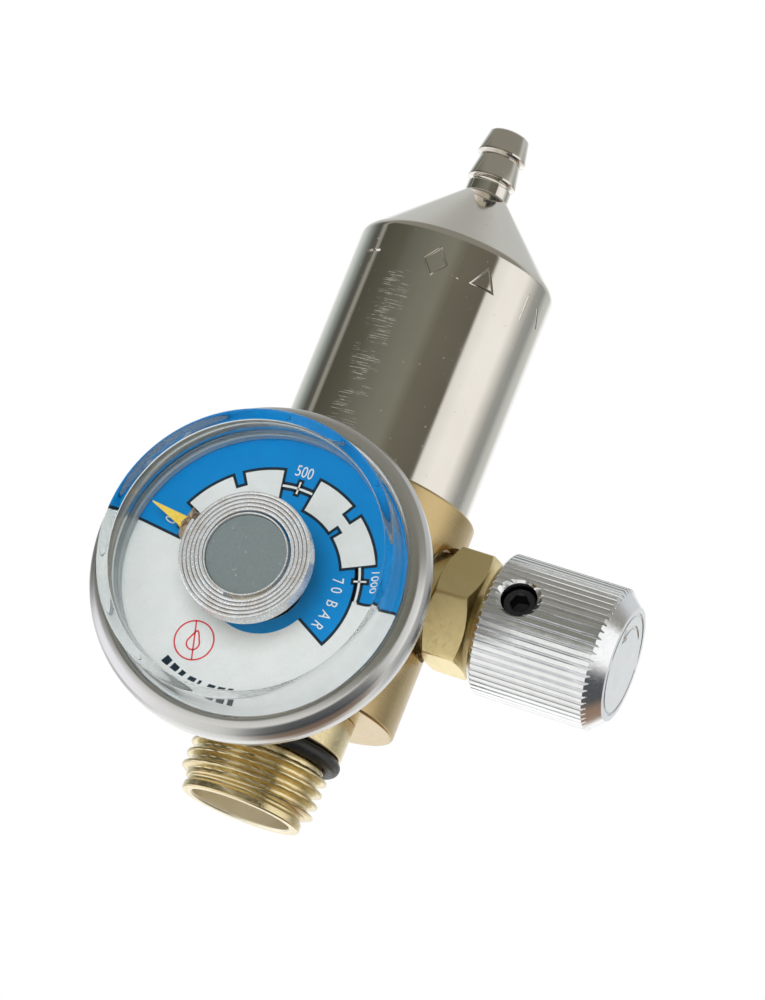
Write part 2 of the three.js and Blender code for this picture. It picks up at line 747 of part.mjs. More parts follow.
// The points run from the lip behind the case's flange, round the outside, to the lens.
function bezelGeometry() {
  return turnedRing([
    [16.75, 20.95],
    [16.75, 20.4],
    [17.85, 20.4],
    [18.45, 21.6],
    [BEZEL_R, 23.6],
    [18.8, 24.6],
    [18.5, 25.5],
    [17.8, 26.15],
    [16.9, 26.4],
    [16.45, 25.95],
    [16.45, 25.2],
    [17.6, 25.2],
    [18.1, 24.8],
    [18.1, 20.95],
  ]);
}

class FlatSpiral extends THREE.Curve {
  constructor(outerR, pitch, turns, height) {
    super();
    this.outerR = outerR;
    this.pitch = pitch;
    this.turns = turns;
    this.height = height;
  }

  // Starts at the outer end, which carries the pointer, and winds inwards.
  getPoint(t, target = new THREE.Vector3()) {
    const turned = t * this.turns;
    const angle = Math.PI / 2 + POINTER_ZERO_ANGLE + turned * 2 * Math.PI;
    const r = this.outerR - turned * this.pitch;
    return target.set(r * Math.cos(angle), r * Math.sin(angle), this.height);
  }
}

function coilGeometry() {
  const halfWidth = (COIL_FRONT - COIL_BACK) / 2;
  const halfStrip = COIL_STRIP / 2;
  const section = new THREE.Shape();
  section.moveTo(-halfWidth, -halfStrip);
  section.lineTo(halfWidth, -halfStrip);
  section.lineTo(halfWidth, halfStrip);
  section.lineTo(-halfWidth, halfStrip);
  section.closePath();
  const innerCentreR = GAUGE_POST_R + COIL_GAP + halfStrip;
  const outerCentreR = COIL_R - halfStrip;
  const turns = (outerCentreR - innerCentreR) / COIL_PITCH;
  const path = new FlatSpiral(outerCentreR, COIL_PITCH, turns, (COIL_FRONT + COIL_BACK) / 2);
  const steps = Math.round(turns * 20);
  return closedSurface(new THREE.ExtrudeGeometry(section, { steps, extrudePath: path }));
}

function pointerGeometry() {
  const blade = new THREE.Shape();
  blade.moveTo(-POINTER_HALF_WIDTH, POINTER_INNER_R);
  blade.lineTo(POINTER_HALF_WIDTH, POINTER_INNER_R);
  blade.lineTo(SHOULDER_HALF_WIDTH, POINTER_SHOULDER_R);
  blade.lineTo(TIP_HALF_WIDTH, POINTER_TIP_R);
  blade.lineTo(-TIP_HALF_WIDTH, POINTER_TIP_R);
  blade.lineTo(-SHOULDER_HALF_WIDTH, POINTER_SHOULDER_R);
  blade.closePath();
  const plate = new THREE.ExtrudeGeometry(blade, { depth: POINTER_THICKNESS, bevelEnabled: false });
  plate.translate(0, 0, POINTER_BACK);
  const foot = new THREE.BoxGeometry(2 * POINTER_HALF_WIDTH, FOOT_THICKNESS, FOOT_HEIGHT);
  foot.translate(0, POINTER_INNER_R + FOOT_THICKNESS / 2, POINTER_BACK + FOOT_HEIGHT / 2);
  const whole = join(closedSurface(plate), closedSurface(foot));
  whole.rotateZ(POINTER_ZERO_ANGLE);
  return whole;
}

function gaugeGroup() {
  const caseNutHex = chamferedHex(CASE_NUT_FLATS, CASE_NUT_LOW, CASE_NUT_HIGH);
  const caseNut = cut(caseNutHex, rod(CASE_HOLE_R - SLACK, CASE_BACK, CASE_FLANGE_BACK, RING_ROUND));
  const dialBack = DIAL_FACE - DIAL_THICKNESS;
  const gasketBack = DIAL_FACE + SLACK;
  const group = new THREE.Group();
  group.position.z = GAUGE_Z;
  group.rotation.x = Math.PI / 2;
  group.add(
    node('gauge_socket', gaugeSocketGeometry(), yellowBrass),
    node('gauge_case', gaugeCaseGeometry(), stainless),
    node('case_nut', caseNut, yellowBrass),
    node('gauge_dial', washer(DIAL_HOLE_R, DIAL_R, dialBack, DIAL_FACE, ROUND), dialPaint),
    node('lens_gasket', washer(GASKET_HOLE_R, DIAL_R, gasketBack, GASKET_FRONT, ROUND), rubber),
    node('gauge_lens', lensGeometry(), clearPlastic),
    node('gauge_bezel', bezelGeometry(), stainless),
    node('bourdon_coil', coilGeometry(), coilMetal),
    node('coil_cap', rod(CAP_R, CAP_BACK, CAP_FRONT, RING_ROUND), capPaint),
    node('gauge_pointer', pointerGeometry(), pointerPaint),
  );
  return group;
}

// ---------- on/off valve, built with its axis along Z and turned to point to +X ----------

function glandNutGeometry() {
  const blank = turned([
    [0, GLAND_LOW],
    [GLAND_R, GLAND_LOW],
    [GLAND_R, GLAND_COLLAR_START],
    [GLAND_COLLAR_R, GLAND_COLLAR_START],
    [GLAND_COLLAR_R, NUT_START + 0.5],
    [0, NUT_START + 0.5],
  ], RING_ROUND);
  const hex = chamferedHex(NUT_ACROSS_FLATS, NUT_START, NUT_END);
  const stemHole = rod(STEM_R + 0.25, GLAND_LOW - 1, NUT_END + 1);
  const sealPocket = rod(GLAND_SEAL_R, GLAND_LOW - 1, GLAND_SEAL_END);
  return cut(join(blank, hex), stemHole, sealPocket);
}

function valvePadGeometry() {
  return turned([
    [0, SEAT_X + SLACK],
    [VALVE_PAD_R, SEAT_X + SLACK],
    [VALVE_PAD_R, VALVE_PAD_END],
    [VALVE_PIN_R, VALVE_PAD_END],
    [VALVE_PIN_R, VALVE_PIN_END],
    [0, VALVE_PIN_END],
  ], SMALL_ROUND);
}

function valveStemGeometry() {
  return turned([
    [0, STEM_SOCKET_END],
    [STEM_SOCKET_R, STEM_SOCKET_END],
    [STEM_SOCKET_R, STEM_FLANGE_START],
    [STEM_FLANGE_R, STEM_FLANGE_START],
    [STEM_FLANGE_R, STEM_FLANGE_END],
    [STEM_R, STEM_FLANGE_END],
    [STEM_R, STEM_END - STEM_CHAMFER],
    [STEM_R - STEM_CHAMFER, STEM_END],
    [0, STEM_END],
  ], SMALL_ROUND);
}

// The way that the set screw points: mostly to the front, a little upwards.
const setScrewWay = [-Math.sin(SET_SCREW_ANGLE), -Math.cos(SET_SCREW_ANGLE)];

function radialPoint(distance) {
  return [distance * setScrewWay[0], distance * setScrewWay[1], SET_SCREW_X];
}

function knobGeometry() {
  const boreR = STEM_R + 0.15;
  const [innerIn, innerAlong] = KNOB_INNER_CHAMFER;
  const [outerIn, outerAlong] = KNOB_OUTER_CHAMFER;
  const blank = turned([
    [0, KNOB_BORE_END],
    [boreR, KNOB_BORE_END],
    [boreR, KNOB_START],
    [KNOB_R - innerIn, KNOB_START],
    [KNOB_R, KNOB_START + innerAlong],
    [KNOB_R, KNOB_END - outerAlong],
    [KNOB_R - outerIn, KNOB_END],
    [0, KNOB_END],
  ]);
  return cut(blank, drill(radialPoint(1), radialPoint(KNOB_R + 1), SET_SCREW_HOLE_R));
}

function setScrewGeometry() {
  const screw = rod(SET_SCREW_R, SET_SCREW_START, SET_SCREW_END);
  const socket = hexPrism(SET_SCREW_SOCKET_FLATS, SET_SCREW_SOCKET_START, SET_SCREW_END + 1);
  const whole = cut(screw, socket);
  const way = new THREE.Vector3(setScrewWay[0], setScrewWay[1], 0);
  whole.applyQuaternion(new THREE.Quaternion().setFromUnitVectors(new THREE.Vector3(0, 0, 1), way));
  whole.translate(0, 0, SET_SCREW_X);
  return whole;
}

function valveGroup() {
  const group = new THREE.Group();
  group.position.z = VALVE_Z;
  group.rotation.y = Math.PI / 2;
  group.add(
    node('gland_washer', washer(5.05, 6.3, SPOTFACE_X + SLACK, SPOTFACE_X + 0.75), stainless),
    node('gland_nut', glandNutGeometry(), yellowBrass),
    node('gland_backup_ring', washer(2.6, 3.65, 8.5, 9.0, SMALL_ROUND), polymer),
    node('gland_oring', oRing(3.14, 0.56, 9.7, SMALL_ROUND), rubber),
    node('valve_pad', valvePadGeometry(), polymer),
    node('valve_stem', valveStemGeometry(), yellowBrass),
    node('knob', knobGeometry(), aluminium),
    node('knob_set_screw', setScrewGeometry(), blackSteel),
  );
  return group;
}

// ---------- the whole regulator ----------

const regulator = new THREE.Group();
regulator.add(
  ...inletPieces(),
  ...bodyPieces(),
  ...pistonPieces(),
  ...outletPieces(),
  gaugeGroup(),
  valveGroup(),
);

export default regulator;
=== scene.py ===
from math import ceil, cos, pi, radians, sin, tan

import bmesh
import bpy
import numpy as np
from mathutils import Matrix, Vector, noise
from mathutils.geometry import tessellate_polygon


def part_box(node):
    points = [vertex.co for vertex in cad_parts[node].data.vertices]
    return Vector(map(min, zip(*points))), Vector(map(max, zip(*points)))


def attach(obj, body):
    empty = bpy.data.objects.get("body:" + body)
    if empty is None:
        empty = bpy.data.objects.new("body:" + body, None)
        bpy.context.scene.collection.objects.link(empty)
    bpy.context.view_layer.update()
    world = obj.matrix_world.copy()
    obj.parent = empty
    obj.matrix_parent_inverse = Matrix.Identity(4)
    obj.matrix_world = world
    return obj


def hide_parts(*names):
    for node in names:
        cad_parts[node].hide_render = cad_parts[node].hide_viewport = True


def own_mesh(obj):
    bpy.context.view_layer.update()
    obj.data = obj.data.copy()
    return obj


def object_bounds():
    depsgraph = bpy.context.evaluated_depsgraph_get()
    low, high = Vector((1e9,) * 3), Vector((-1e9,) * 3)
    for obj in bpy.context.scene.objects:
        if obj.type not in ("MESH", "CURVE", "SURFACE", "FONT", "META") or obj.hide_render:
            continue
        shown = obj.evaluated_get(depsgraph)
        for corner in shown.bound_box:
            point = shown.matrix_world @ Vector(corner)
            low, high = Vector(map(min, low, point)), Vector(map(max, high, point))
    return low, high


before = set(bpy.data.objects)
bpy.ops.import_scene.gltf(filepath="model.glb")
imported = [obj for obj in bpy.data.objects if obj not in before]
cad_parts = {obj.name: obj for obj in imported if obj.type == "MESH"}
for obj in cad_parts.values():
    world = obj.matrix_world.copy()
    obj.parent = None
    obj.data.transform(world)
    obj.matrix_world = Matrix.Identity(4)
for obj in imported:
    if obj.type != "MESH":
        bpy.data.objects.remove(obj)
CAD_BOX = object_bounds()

# Lengths are in millimetres until a mesh is made; MM turns them into metres.
MM = 0.001

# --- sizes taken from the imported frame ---


def box_mm(node):
    low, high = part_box(node)
    return low / MM, high / MM


NIPPLE_LOW, NIPPLE_HIGH = box_mm("inlet_nipple")
MOUTH_Z, STUB_TOP_Z, NECK_R = NIPPLE_LOW.z, NIPPLE_HIGH.z, NIPPLE_HIGH.x
BODY_LOW, BODY_HIGH = box_mm("valve_body")
BODY_R, BODY_BOTTOM_Z, SPIGOT_TOP_Z = BODY_HIGH.x, BODY_LOW.z, BODY_HIGH.z
BONNET_LOW, BONNET_HIGH = box_mm("bonnet")
BONNET_R, BONNET_BOTTOM_Z, CONE_TOP_Z = BONNET_HIGH.x, BONNET_LOW.z, BONNET_HIGH.z
BARB_LOW, BARB_HIGH = box_mm("hose_barb")
BEZEL_LOW, BEZEL_HIGH = box_mm("gauge_bezel")
GAUGE_Z, BEZEL_R = (BEZEL_LOW.z + BEZEL_HIGH.z) / 2, BEZEL_HIGH.x


def gauge_node(node):
    """(radius, front, back) of a node that lies round the gauge's axis."""
    low, high = box_mm(node)
    return high.x, -low.y, -high.y


CASE_FLANGE_R, _, CASE_BACK = gauge_node("gauge_case")
DIAL_R, DIAL_FACE, DIAL_BACK = gauge_node("gauge_dial")
LENS_FLANGE_R, LENS_FRONT, LENS_BACK = gauge_node("gauge_lens")
_, COIL_FRONT, COIL_BACK = gauge_node("bourdon_coil")
CAP_R, CAP_FRONT, CAP_BACK = gauge_node("coil_cap")
KNOB_LOW, KNOB_HIGH = box_mm("knob")
KNOB_START, KNOB_END = KNOB_LOW.x, KNOB_HIGH.x
KNOB_R = (KNOB_HIGH.z - KNOB_LOW.z) / 2
VALVE_Z = (KNOB_HIGH.z + KNOB_LOW.z) / 2
NUT_END = box_mm("gland_nut")[1].x

# Places of the three turned groups: local Z is the axis of turning.
MAIN = Matrix.Identity(4)
GAUGE = Matrix(((1, 0, 0, 0), (0, 0, -1, 0), (0, 1, 0, GAUGE_Z), (0, 0, 0, 1)))
VALVE = Matrix(((0, 0, 1, 0), (0, 1, 0, 0), (-1, 0, 0, VALVE_Z), (0, 0, 0, 1)))

# --- sizes that the frame doesn't give ---

FINE = 192                    # facets round a large turned piece
MIDDLE = 96                   # facets round a smaller one
ARC_STEP = radians(12)        # turn between two points of a rounded corner
SHARP_ANGLE = radians(38)
KNOB_SHARP_ANGLE = radians(40)

THREAD_R = 7.94
THREAD_PITCH = 25.4 / 18
THREAD_TOP_Z = -2.05
THREAD_END_Z = -7.5
PILOT_R = 7.0
MOUTH_BORE_R = 5.8
ORING_GROOVE_R = 6.9
ORING_SECTION_R = 0.88
BODY_TOP_Z = 30.5
SPIGOT_R = 9.9
SPOTFACE_X = 11.0
STEM_R = 2.5
NUT_START = 13.4
NUT_FLAT_R = 6.5
CASE_R = 16.6
LENS_R = 16.2
LENS_HOLE_R = 15.1
LENS_WINDOW = 1.1             # thickness of the window
GASKET_HOLE_R = 16.45
GASKET_FRONT = 23.55
COIL_R = 7.35
COIL_PITCH = 0.44
COIL_STRIP = 0.38
COIL_INNER_R = 4.65
POINTER_ZERO = radians(75)
SET_SCREW_X = 23.3
SET_SCREW_ANGLE = radians(12.4)
SCREW_END = 6.85
KNOB_BORE_END = 32.4
FLUTES = 58
FLUTE_DEPTH = 0.42

# --- shapes: (points, faces), in millimetres ---


def bands(count, sides, closed):
    """The faces between each ring of points and the next."""
    faces = []
    for i in range(count if closed else count - 1):
        a, b = i * sides, (i + 1) % count * sides
        for j in range(sides):
            k = (j + 1) % sides
            faces.append((a + j, a + k, b + k, b + j))
    return faces


def skin(rows, facets, closed):
    """A surface over rings round Z. A row is (radius, height), each one number or one per facet."""
    angles = np.arange(facets) * (2 * pi / facets)
    rings = []
    for radius, height in rows:
        r = np.broadcast_to(np.asarray(radius, float), angles.shape)
        z = np.broadcast_to(np.asarray(height, float), angles.shape)
        rings.append(np.stack([r * np.cos(angles), r * np.sin(angles), z], 1))
    return np.concatenate(rings), bands(len(rows), facets, closed)


def outline(corners, closed=True):
    """The points of a profile. A corner is (r, z), or (r, z, radius) where it is rounded."""
    points = []
    count = len(corners)
    for i, corner in enumerate(corners):
        here = Vector(corner[:2])
        at_end = not closed and i in (0, count - 1)
        if len(corner) == 2 or at_end:
            points.append(tuple(here))
            continue
        before = here - Vector(corners[i - 1][:2])
        after = Vector(corners[(i + 1) % count][:2]) - here
        turn = before.angle_signed(after)
        reach = corner[2] * tan(abs(turn) / 2)
        reach = min(reach, 0.48 * before.length, 0.48 * after.length)
        radius = reach / tan(abs(turn) / 2)
        way = before.normalized()
        start = here - way * reach
        inward = Vector((-way.y, way.x)) * (-1 if turn > 0 else 1)
        centre = start + inward * radius
        steps = max(2, ceil(abs(turn) / ARC_STEP))
        for s in range(steps + 1):
            arm = start - centre
            arm.rotate(Matrix.Rotation(-turn * s / steps, 2))
            points.append(tuple(centre + arm))
    return points


def circle(radius, count, centre=(0, 0), turn=0.0, stretch=1.0):
    angles = [turn + i * 2 * pi / count for i in range(count)]
    return [(centre[0] + radius * cos(a), centre[1] + stretch * radius * sin(a)) for a in angles]


def flat(path):
    return [(x, y, 0) for x, y in path]


def lathe(corners, facets=FINE, closed=True):
    return skin(outline(corners, closed), facets, closed)


def washer(inner, outer, low, high, corner, facets=FINE):
    return lathe([
        (inner, low, corner), (outer, low, corner), (outer, high, corner), (inner, high, corner),
    ], facets)


def disc(radius, low, high, low_corner, high_corner):
    corners = [(0, low), (radius, low, low_corner), (radius, high, high_corner), (0, high)]
    return lathe(corners, MIDDLE, False)


def rod(radius, low, high, facets=48):
    return skin([(0, low), (radius, low), (radius, high), (0, high)], facets, False)


def hex_radius(facets, flat_r, sharpness=70):
    """The radius of a hexagon with slightly rounded corners, one value per facet."""
    angles = np.arange(facets) * (2 * pi / facets)
    total = np.zeros(facets)
    for side in range(6):
        facing = np.maximum(0, np.cos(angles - side * pi / 3))
        total += facing ** sharpness
    return flat_r / total ** (1 / sharpness)


def spiral(turns, per_turn, start, radii, heights):
    """Points that run round Z, from one radius and height to another."""
    steps = round(turns * per_turn)
    points = []
    for i in range(steps + 1):
        angle = start + turns * 2 * pi * i / steps
        r = radii[0] + (radii[1] - radii[0]) * i / steps
        z = heights[0] + (heights[1] - heights[0]) * i / steps
        points.append((r * cos(angle), r * sin(angle), z))
    return points


def sweep(section, path, closed=False):
    """Carries a section of (side, up) points along a path; up is Z, and corners are mitred."""
    path = [Vector(p) for p in path]
    count = len(path)
    points = []
    for i, here in enumerate(path):
        first = i == 0 and not closed
        last = i == count - 1 and not closed
        before = (path[i + 1] - here if first else here - path[i - 1]).normalized()
        after = (before if last else path[(i + 1) % count] - here).normalized()
        side_before = before.cross(Vector((0, 0, 1))).normalized()
        side_after = after.cross(Vector((0, 0, 1))).normalized()
        side = (side_before + side_after).normalized()
        side /= max(0.4, side.dot(side_before))
        for s, u in section:
            points.append(tuple(here + side * s + Vector((0, 0, u))))
    sides = len(section)
    faces = bands(count, sides, closed)
    if not closed:
        faces.append(tuple(range(sides)))
        faces.append(tuple(range((count - 1) * sides, count * sides)))
    return np.array(points), faces


def plate(border, low, high):
    """A flat plate with that border, from low to high along Z."""
    count = len(border)
    points = [(x, y, z) for z in (low, high) for x, y in border]
    faces = []
    for triangle in tessellate_polygon([[Vector((x, y, 0)) for x, y in border]]):
        faces.append(tuple(triangle))
        faces.append(tuple(count + i for i in reversed(triangle)))
    for i in range(count):
        k = (i + 1) % count
        faces.append((i, k, count + k, count + i))
    return np.array(points), faces


def merge(*shapes):
    points, faces, shift = [], [], 0
    for shape_points, shape_faces in shapes:
        points.append(np.asarray(shape_points, float))
        faces += [tuple(shift + i for i in face) for face in shape_faces]
        shift += len(shape_points)
    return np.concatenate(points), faces


def moved(shape, matrix):
    points, faces = shape
    turn = np.array(matrix.to_3x3())
    return np.asarray(points) @ turn.T + np.array(matrix.translation), faces


# --- objects ---

FIXED = "regulator_body"      # the body of every piece that doesn't move


def placed(name, data):
    obj = bpy.data.objects.new(name, data)
    bpy.context.scene.collection.objects.link(obj)
    return obj


def solid(name, shape, place=MAIN):
    """An object in metres from a shape in millimetres, with its faces turned outwards."""
    points, faces = moved(shape, place)
    mesh = bpy.data.meshes.new(name)
    mesh.from_pydata([tuple(p) for p in points], [], faces)
    work = bmesh.new()
    work.from_mesh(mesh)
    bmesh.ops.remove_doubles(work, verts=work.verts, dist=1e-4)
    bmesh.ops.dissolve_degenerate(work, dist=1e-5, edges=work.edges)
    bmesh.ops.recalc_face_normals(work, faces=work.faces)
    bmesh.ops.scale(work, vec=(MM, MM, MM), verts=work.verts)
    work.to_mesh(mesh)
    work.free()
    return placed(name, mesh)


def settle(obj):
    """Puts the modifiers' result into the object's own mesh."""
    graph = bpy.context.evaluated_depsgraph_get()
    mesh = bpy.data.meshes.new_from_object(obj.evaluated_get(graph))
    obj.modifiers.clear()
    obj.data = mesh
    return obj


def carve(obj, *cutters):
    for cutter in cutters:
        step = obj.modifiers.new("carve", "BOOLEAN")
        step.object = cutter
        step.operation = "DIFFERENCE"
        step.solver = "EXACT"
    settle(obj)
    for cutter in cutters:
        bpy.data.objects.remove(cutter)
    return obj


def piece(obj, material, node=None, body=FIXED, sharp=SHARP_ANGLE):
    """Finishes an object as a piece of the regulator, which may stand for a node of the frame."""
    obj.data.polygons.foreach_set("use_smooth", [True] * len(obj.data.polygons))
    obj.data.set_sharp_from_angle(angle=sharp)
    obj.modifiers.new("even_normals", "WEIGHTED_NORMAL").keep_sharp = True
    obj.data.materials.clear()
    obj.data.materials.append(material)
    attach(obj, body)
    if node:
        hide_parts(node)
    return obj


def part(node, shape, place, material, body=FIXED):
    return piece(solid(node + "_fine", shape, place), material, node, body)


# --- material nodes ---


def put(tree, socket, value):
    """Links a socket, or sets a number or an (r, g, b) colour on it."""
    if isinstance(value, bpy.types.NodeSocket):
        tree.links.new(value, socket)
    elif isinstance(value, tuple):
        socket.default_value = (*value, 1.0)
    else:
        socket.default_value = value


def add(tree, kind, inputs=None, **settings):
    made = tree.nodes.new("ShaderNode" + kind)
    for key, value in settings.items():
        setattr(made, key, value)
    for key, value in (inputs or {}).items():
        put(tree, made.inputs[key], value)
    return made


class Nodes:
    """Short names for the nodes of one tree."""

    def __init__(self, tree):
        self.tree = tree
        tree.nodes.clear()

    def maths(self, operation, a, b=0.0, c=0.0):
        return add(self.tree, "Math", {0: a, 1: b, 2: c}, operation=operation).outputs[0]

    def times(self, a, b):
        return self.maths("MULTIPLY", a, b)

    def plus(self, a, b):
        return self.maths("ADD", a, b)

    def half_and_half(self, a, b):
        return self.plus(self.times(a, 0.5), self.times(b, 0.5))

    def span(self, value, low, high, to_low=0.0, to_high=1.0):
        """Maps low..high to to_low..to_high, clamped and eased."""
        ends = {"From Min": low, "From Max": high, "To Min": to_low, "To Max": to_high}
        made = add(self.tree, "MapRange", {"Value": value, **ends}, interpolation_type="SMOOTHSTEP")
        return made.outputs["Result"]

    def vector(self, x, y, z):
        return add(self.tree, "CombineXYZ", {0: x, 1: y, 2: z}).outputs[0]

    def grain(self, at, scale, detail=3.0, roughness=0.55):
        inputs = {"Vector": at, "Scale": scale, "Detail": detail, "Roughness": roughness}
        return add(self.tree, "TexNoise", inputs).outputs["Fac"]

    def mix(self, share, a, b):
        made = add(self.tree, "Mix", data_type="RGBA")
        for name, value in (("Factor_Float", share), ("A_Color", a), ("B_Color", b)):
            put(self.tree, next(s for s in made.inputs if s.identifier == name), value)
        return next(s for s in made.outputs if s.identifier == "Result_Color")


class Finish(Nodes):
    """A Principled material with its texture coordinates in millimetres."""

    def __init__(self, name, **constants):
        self.material = bpy.data.materials.new(name)
        self.material.use_nodes = True
        super().__init__(self.material.node_tree)
        self.shader = add(self.tree, "BsdfPrincipled")
        self.out = add(self.tree, "OutputMaterial", {"Surface": self.shader.outputs[0]})
        for key, value in constants.items():
            put(self.tree, self.shader.inputs[key.replace("_", " ")], value)
        scaled = {0: add(self.tree, "TexCoord").outputs["Object"], "Scale": 1 / MM}
        self.at = add(self.tree, "VectorMath", scaled, operation="SCALE").outputs[0]
        split = add(self.tree, "SeparateXYZ", {0: self.at})
        self.x, self.y, self.z = split.outputs

    def polar(self, place):
        """(distance from the axis, place along it, angle round it) of a turned group."""
        if place is GAUGE:
            a, b = self.x, self.maths("SUBTRACT", self.z, GAUGE_Z)
            axial = self.times(self.y, -1.0)
        elif place is VALVE:
            a, b = self.maths("SUBTRACT", self.z, VALVE_Z), self.y
            axial = self.x
        else:
            a, b, axial = self.x, self.y, self.z
        square = self.plus(self.times(a, a), self.times(b, b))
        return self.maths("SQRT", square), axial, self.maths("ARCTAN2", a, b)

    def turning_lines(self, place, per_mm):
        """Fine grooves that run round the axis, with a slow change along each."""
        radius, axial, angle = self.polar(place)
        across = self.times(radius, per_mm)
        along = self.times(axial, per_mm)
        at = self.vector(across, along, self.times(angle, 1.2))
        return self.grain(at, 1.0, 4.0, 0.6)

    def feed(self, socket, value):
        self.tree.links.new(value, self.shader.inputs[socket])

    def colour(self, low, high, share):
        self.feed("Base Color", self.mix(share, low, high))

    def rough(self, low, high, share):
        self.feed("Roughness", self.span(share, 0.25, 0.75, low, high))

    def bump(self, *layers):
        """Each layer is (height, depth in millimetres)."""
        normal = None
        for height, depth in layers:
            inputs = {"Height": height, "Distance": depth * MM, "Strength": 1.0}
            if normal is not None:
                inputs["Normal"] = normal
            normal = add(self.tree, "Bump", inputs).outputs[0]
        self.feed("Normal", normal)


# --- metals ---

# A finish is given its colours, roughness and depths in millimetres where it is made.
MARKS_PER_MM_AROUND, MARKS_PER_MM_UP = 0.22, 11.0
MARKS_MIDDLE, MARKS_HALF_WIDTH = -0.19, 0.30   # radians round the cylinder
MARKS_TOP_Z = 55.0
# painted light: a paler, brighter brass colour in the bore stands in for the light seen inside it
BORE_PAINTED_LIGHT = (1.0, 0.93, 0.75)                  # second reflections make a brass bore yellower
BORE_EXTRA_ROUGHNESS = 0.20


def handling_marks(f):
    """Short dashes round the front of the cylinder, in a ragged upright band."""
    lean = f.maths("ARCTAN2", f.x, f.times(f.y, -1.0))
    around = f.times(f.times(lean, BONNET_R), MARKS_PER_MM_AROUND)
    dashes = f.grain(f.vector(around, f.times(f.z, MARKS_PER_MM_UP), 0.0), 1.0, 3.0)
    off_middle = f.maths("ABSOLUTE", f.plus(lean, -MARKS_MIDDLE))
    band = f.span(off_middle, 0.02, MARKS_HALF_WIDTH, 1.0, 0.0)
    below_stamps = f.span(f.z, MARKS_TOP_Z - 3.0, MARKS_TOP_Z, 1.0, 0.0)
    patchy = f.span(f.grain(f.at, 0.35, 2.0), 0.28, 0.66)
    where = f.times(f.times(band, below_stamps), patchy)
    return f.times(f.span(dashes, 0.52, 0.72), where)


def nickel_plate():
    f = Finish("nickel_plate", Metallic=1.0)
    lines = f.turning_lines(MAIN, 5.0)
    clouds = f.grain(f.at, 0.12, 3.0)
    marks = handling_marks(f)
    pits = f.span(f.grain(f.at, 2.2, 1.0), 0.74, 0.80)
    f.colour((0.66, 0.625, 0.565), (0.76, 0.73, 0.68), clouds)
    base = f.span(clouds, 0.3, 0.7, 0.05, 0.10)
    f.feed("Roughness", f.plus(base, f.times(marks, 0.25)))
    f.bump((lines, 0.0016), (marks, -0.018), (pits, -0.01))
    return f.material


def brass(name, place, low, high, rough, lines_mm, line_depth, scratch=0.0, bore_r=0.0):
    f = Finish(name, Metallic=1.0)
    lines = f.turning_lines(place, lines_mm)
    clouds = f.grain(f.at, 0.25, 4.0)
    share = f.plus(f.times(clouds, 0.55), f.times(lines, 0.45))
    # inside marks the bore, where the colour turns to the paler painted light and the roughness rises
    inside = f.span(f.polar(place)[0], bore_r, bore_r + 0.2, 1.0 if bore_r else 0.0, 0.0)
    f.colour(f.mix(share, low, high), BORE_PAINTED_LIGHT, inside)
    level = f.span(f.half_and_half(clouds, lines), 0.25, 0.75, *rough)
    f.feed("Roughness", f.maths("MULTIPLY_ADD", inside, BORE_EXTRA_ROUGHNESS, level))
    layers = [(lines, line_depth)]
    if scratch:
        bent = f.grain(f.at, 0.9, 5.0, 0.7)
        ridge = f.maths("ABSOLUTE", f.maths("SUBTRACT", bent, 0.5))
        layers.append((f.span(ridge, 0.0, 0.012, 0.0, 1.0), scratch))
        layers.append((f.grain(f.at, 1.6, 2.0), scratch))
    f.bump(*layers)
    return f.material


def aluminium():
    f = Finish("knob_aluminium", Metallic=1.0)
    lines = f.turning_lines(VALVE, 4.0)
    along = f.grain(f.vector(f.times(f.x, 0.5), f.y, f.z), 3.0, 4.0)
    clouds = f.grain(f.at, 0.5, 3.0)
    f.colour((0.80, 0.81, 0.84), (0.93, 0.94, 0.96), clouds)
    f.rough(0.14, 0.26, along)
    f.bump((lines, 0.002), (along, 0.007))
    return f.material


def stainless(name, place, tint=1.0, rough=(0.24, 0.34)):
    f = Finish(name, Metallic=1.0)
    lines = f.turning_lines(place, 6.0)
    clouds = f.grain(f.at, 0.15, 3.0)
    dull = (0.60 * tint, 0.60 * tint, 0.595 * tint)
    bright = (0.70 * tint, 0.70 * tint, 0.69 * tint)
    f.colour(dull, bright, clouds)
    f.rough(*rough, f.half_and_half(clouds, lines))
    f.bump((lines, 0.0016))
    return f.material


def coil_metal():
    f = Finish("coil_metal", Metallic=0.5)
    blotch = f.grain(f.at, 0.7, 4.0)
    fine = f.grain(f.at, 6.0, 2.0)
    f.colour((0.86, 0.81, 0.79), (0.97, 0.96, 0.98), f.span(blotch, 0.35, 0.6))
    f.rough(0.16, 0.30, fine)
    f.bump((blotch, 0.004))
    return f.material


def dark_steel():
    f = Finish("black_steel", Metallic=0.6)
    fine = f.grain(f.at, 4.0, 3.0)
    f.colour((0.012, 0.012, 0.014), (0.05, 0.05, 0.055), fine)
    f.rough(0.30, 0.48, fine)
    f.bump((fine, 0.006))
    return f.material


def solder():
    f = Finish("pointer_solder", Metallic=0.4)
    blotch = f.grain(f.at, 2.2, 4.0, 0.65)
    f.colour((0.36, 0.21, 0.11), (0.72, 0.58, 0.46), f.span(blotch, 0.35, 0.65))
    f.rough(0.30, 0.6, blotch)
    f.bump((blotch, 0.05))
    return f.material


def sintered_bronze():
    f = Finish("sintered_bronze", Metallic=0.8)
    inputs = {"Vector": f.at, "Scale": 6.0}
    cells = add(f.tree, "TexVoronoi", inputs).outputs["Distance"]
    f.colour((0.20, 0.11, 0.04), (0.62, 0.42, 0.20), f.span(cells, 0.05, 0.5, 1.0, 0.0))
    f.rough(0.5, 0.8, cells)
    f.bump((cells, -0.08))
    return f.material


# --- plastics, rubber and paint ---


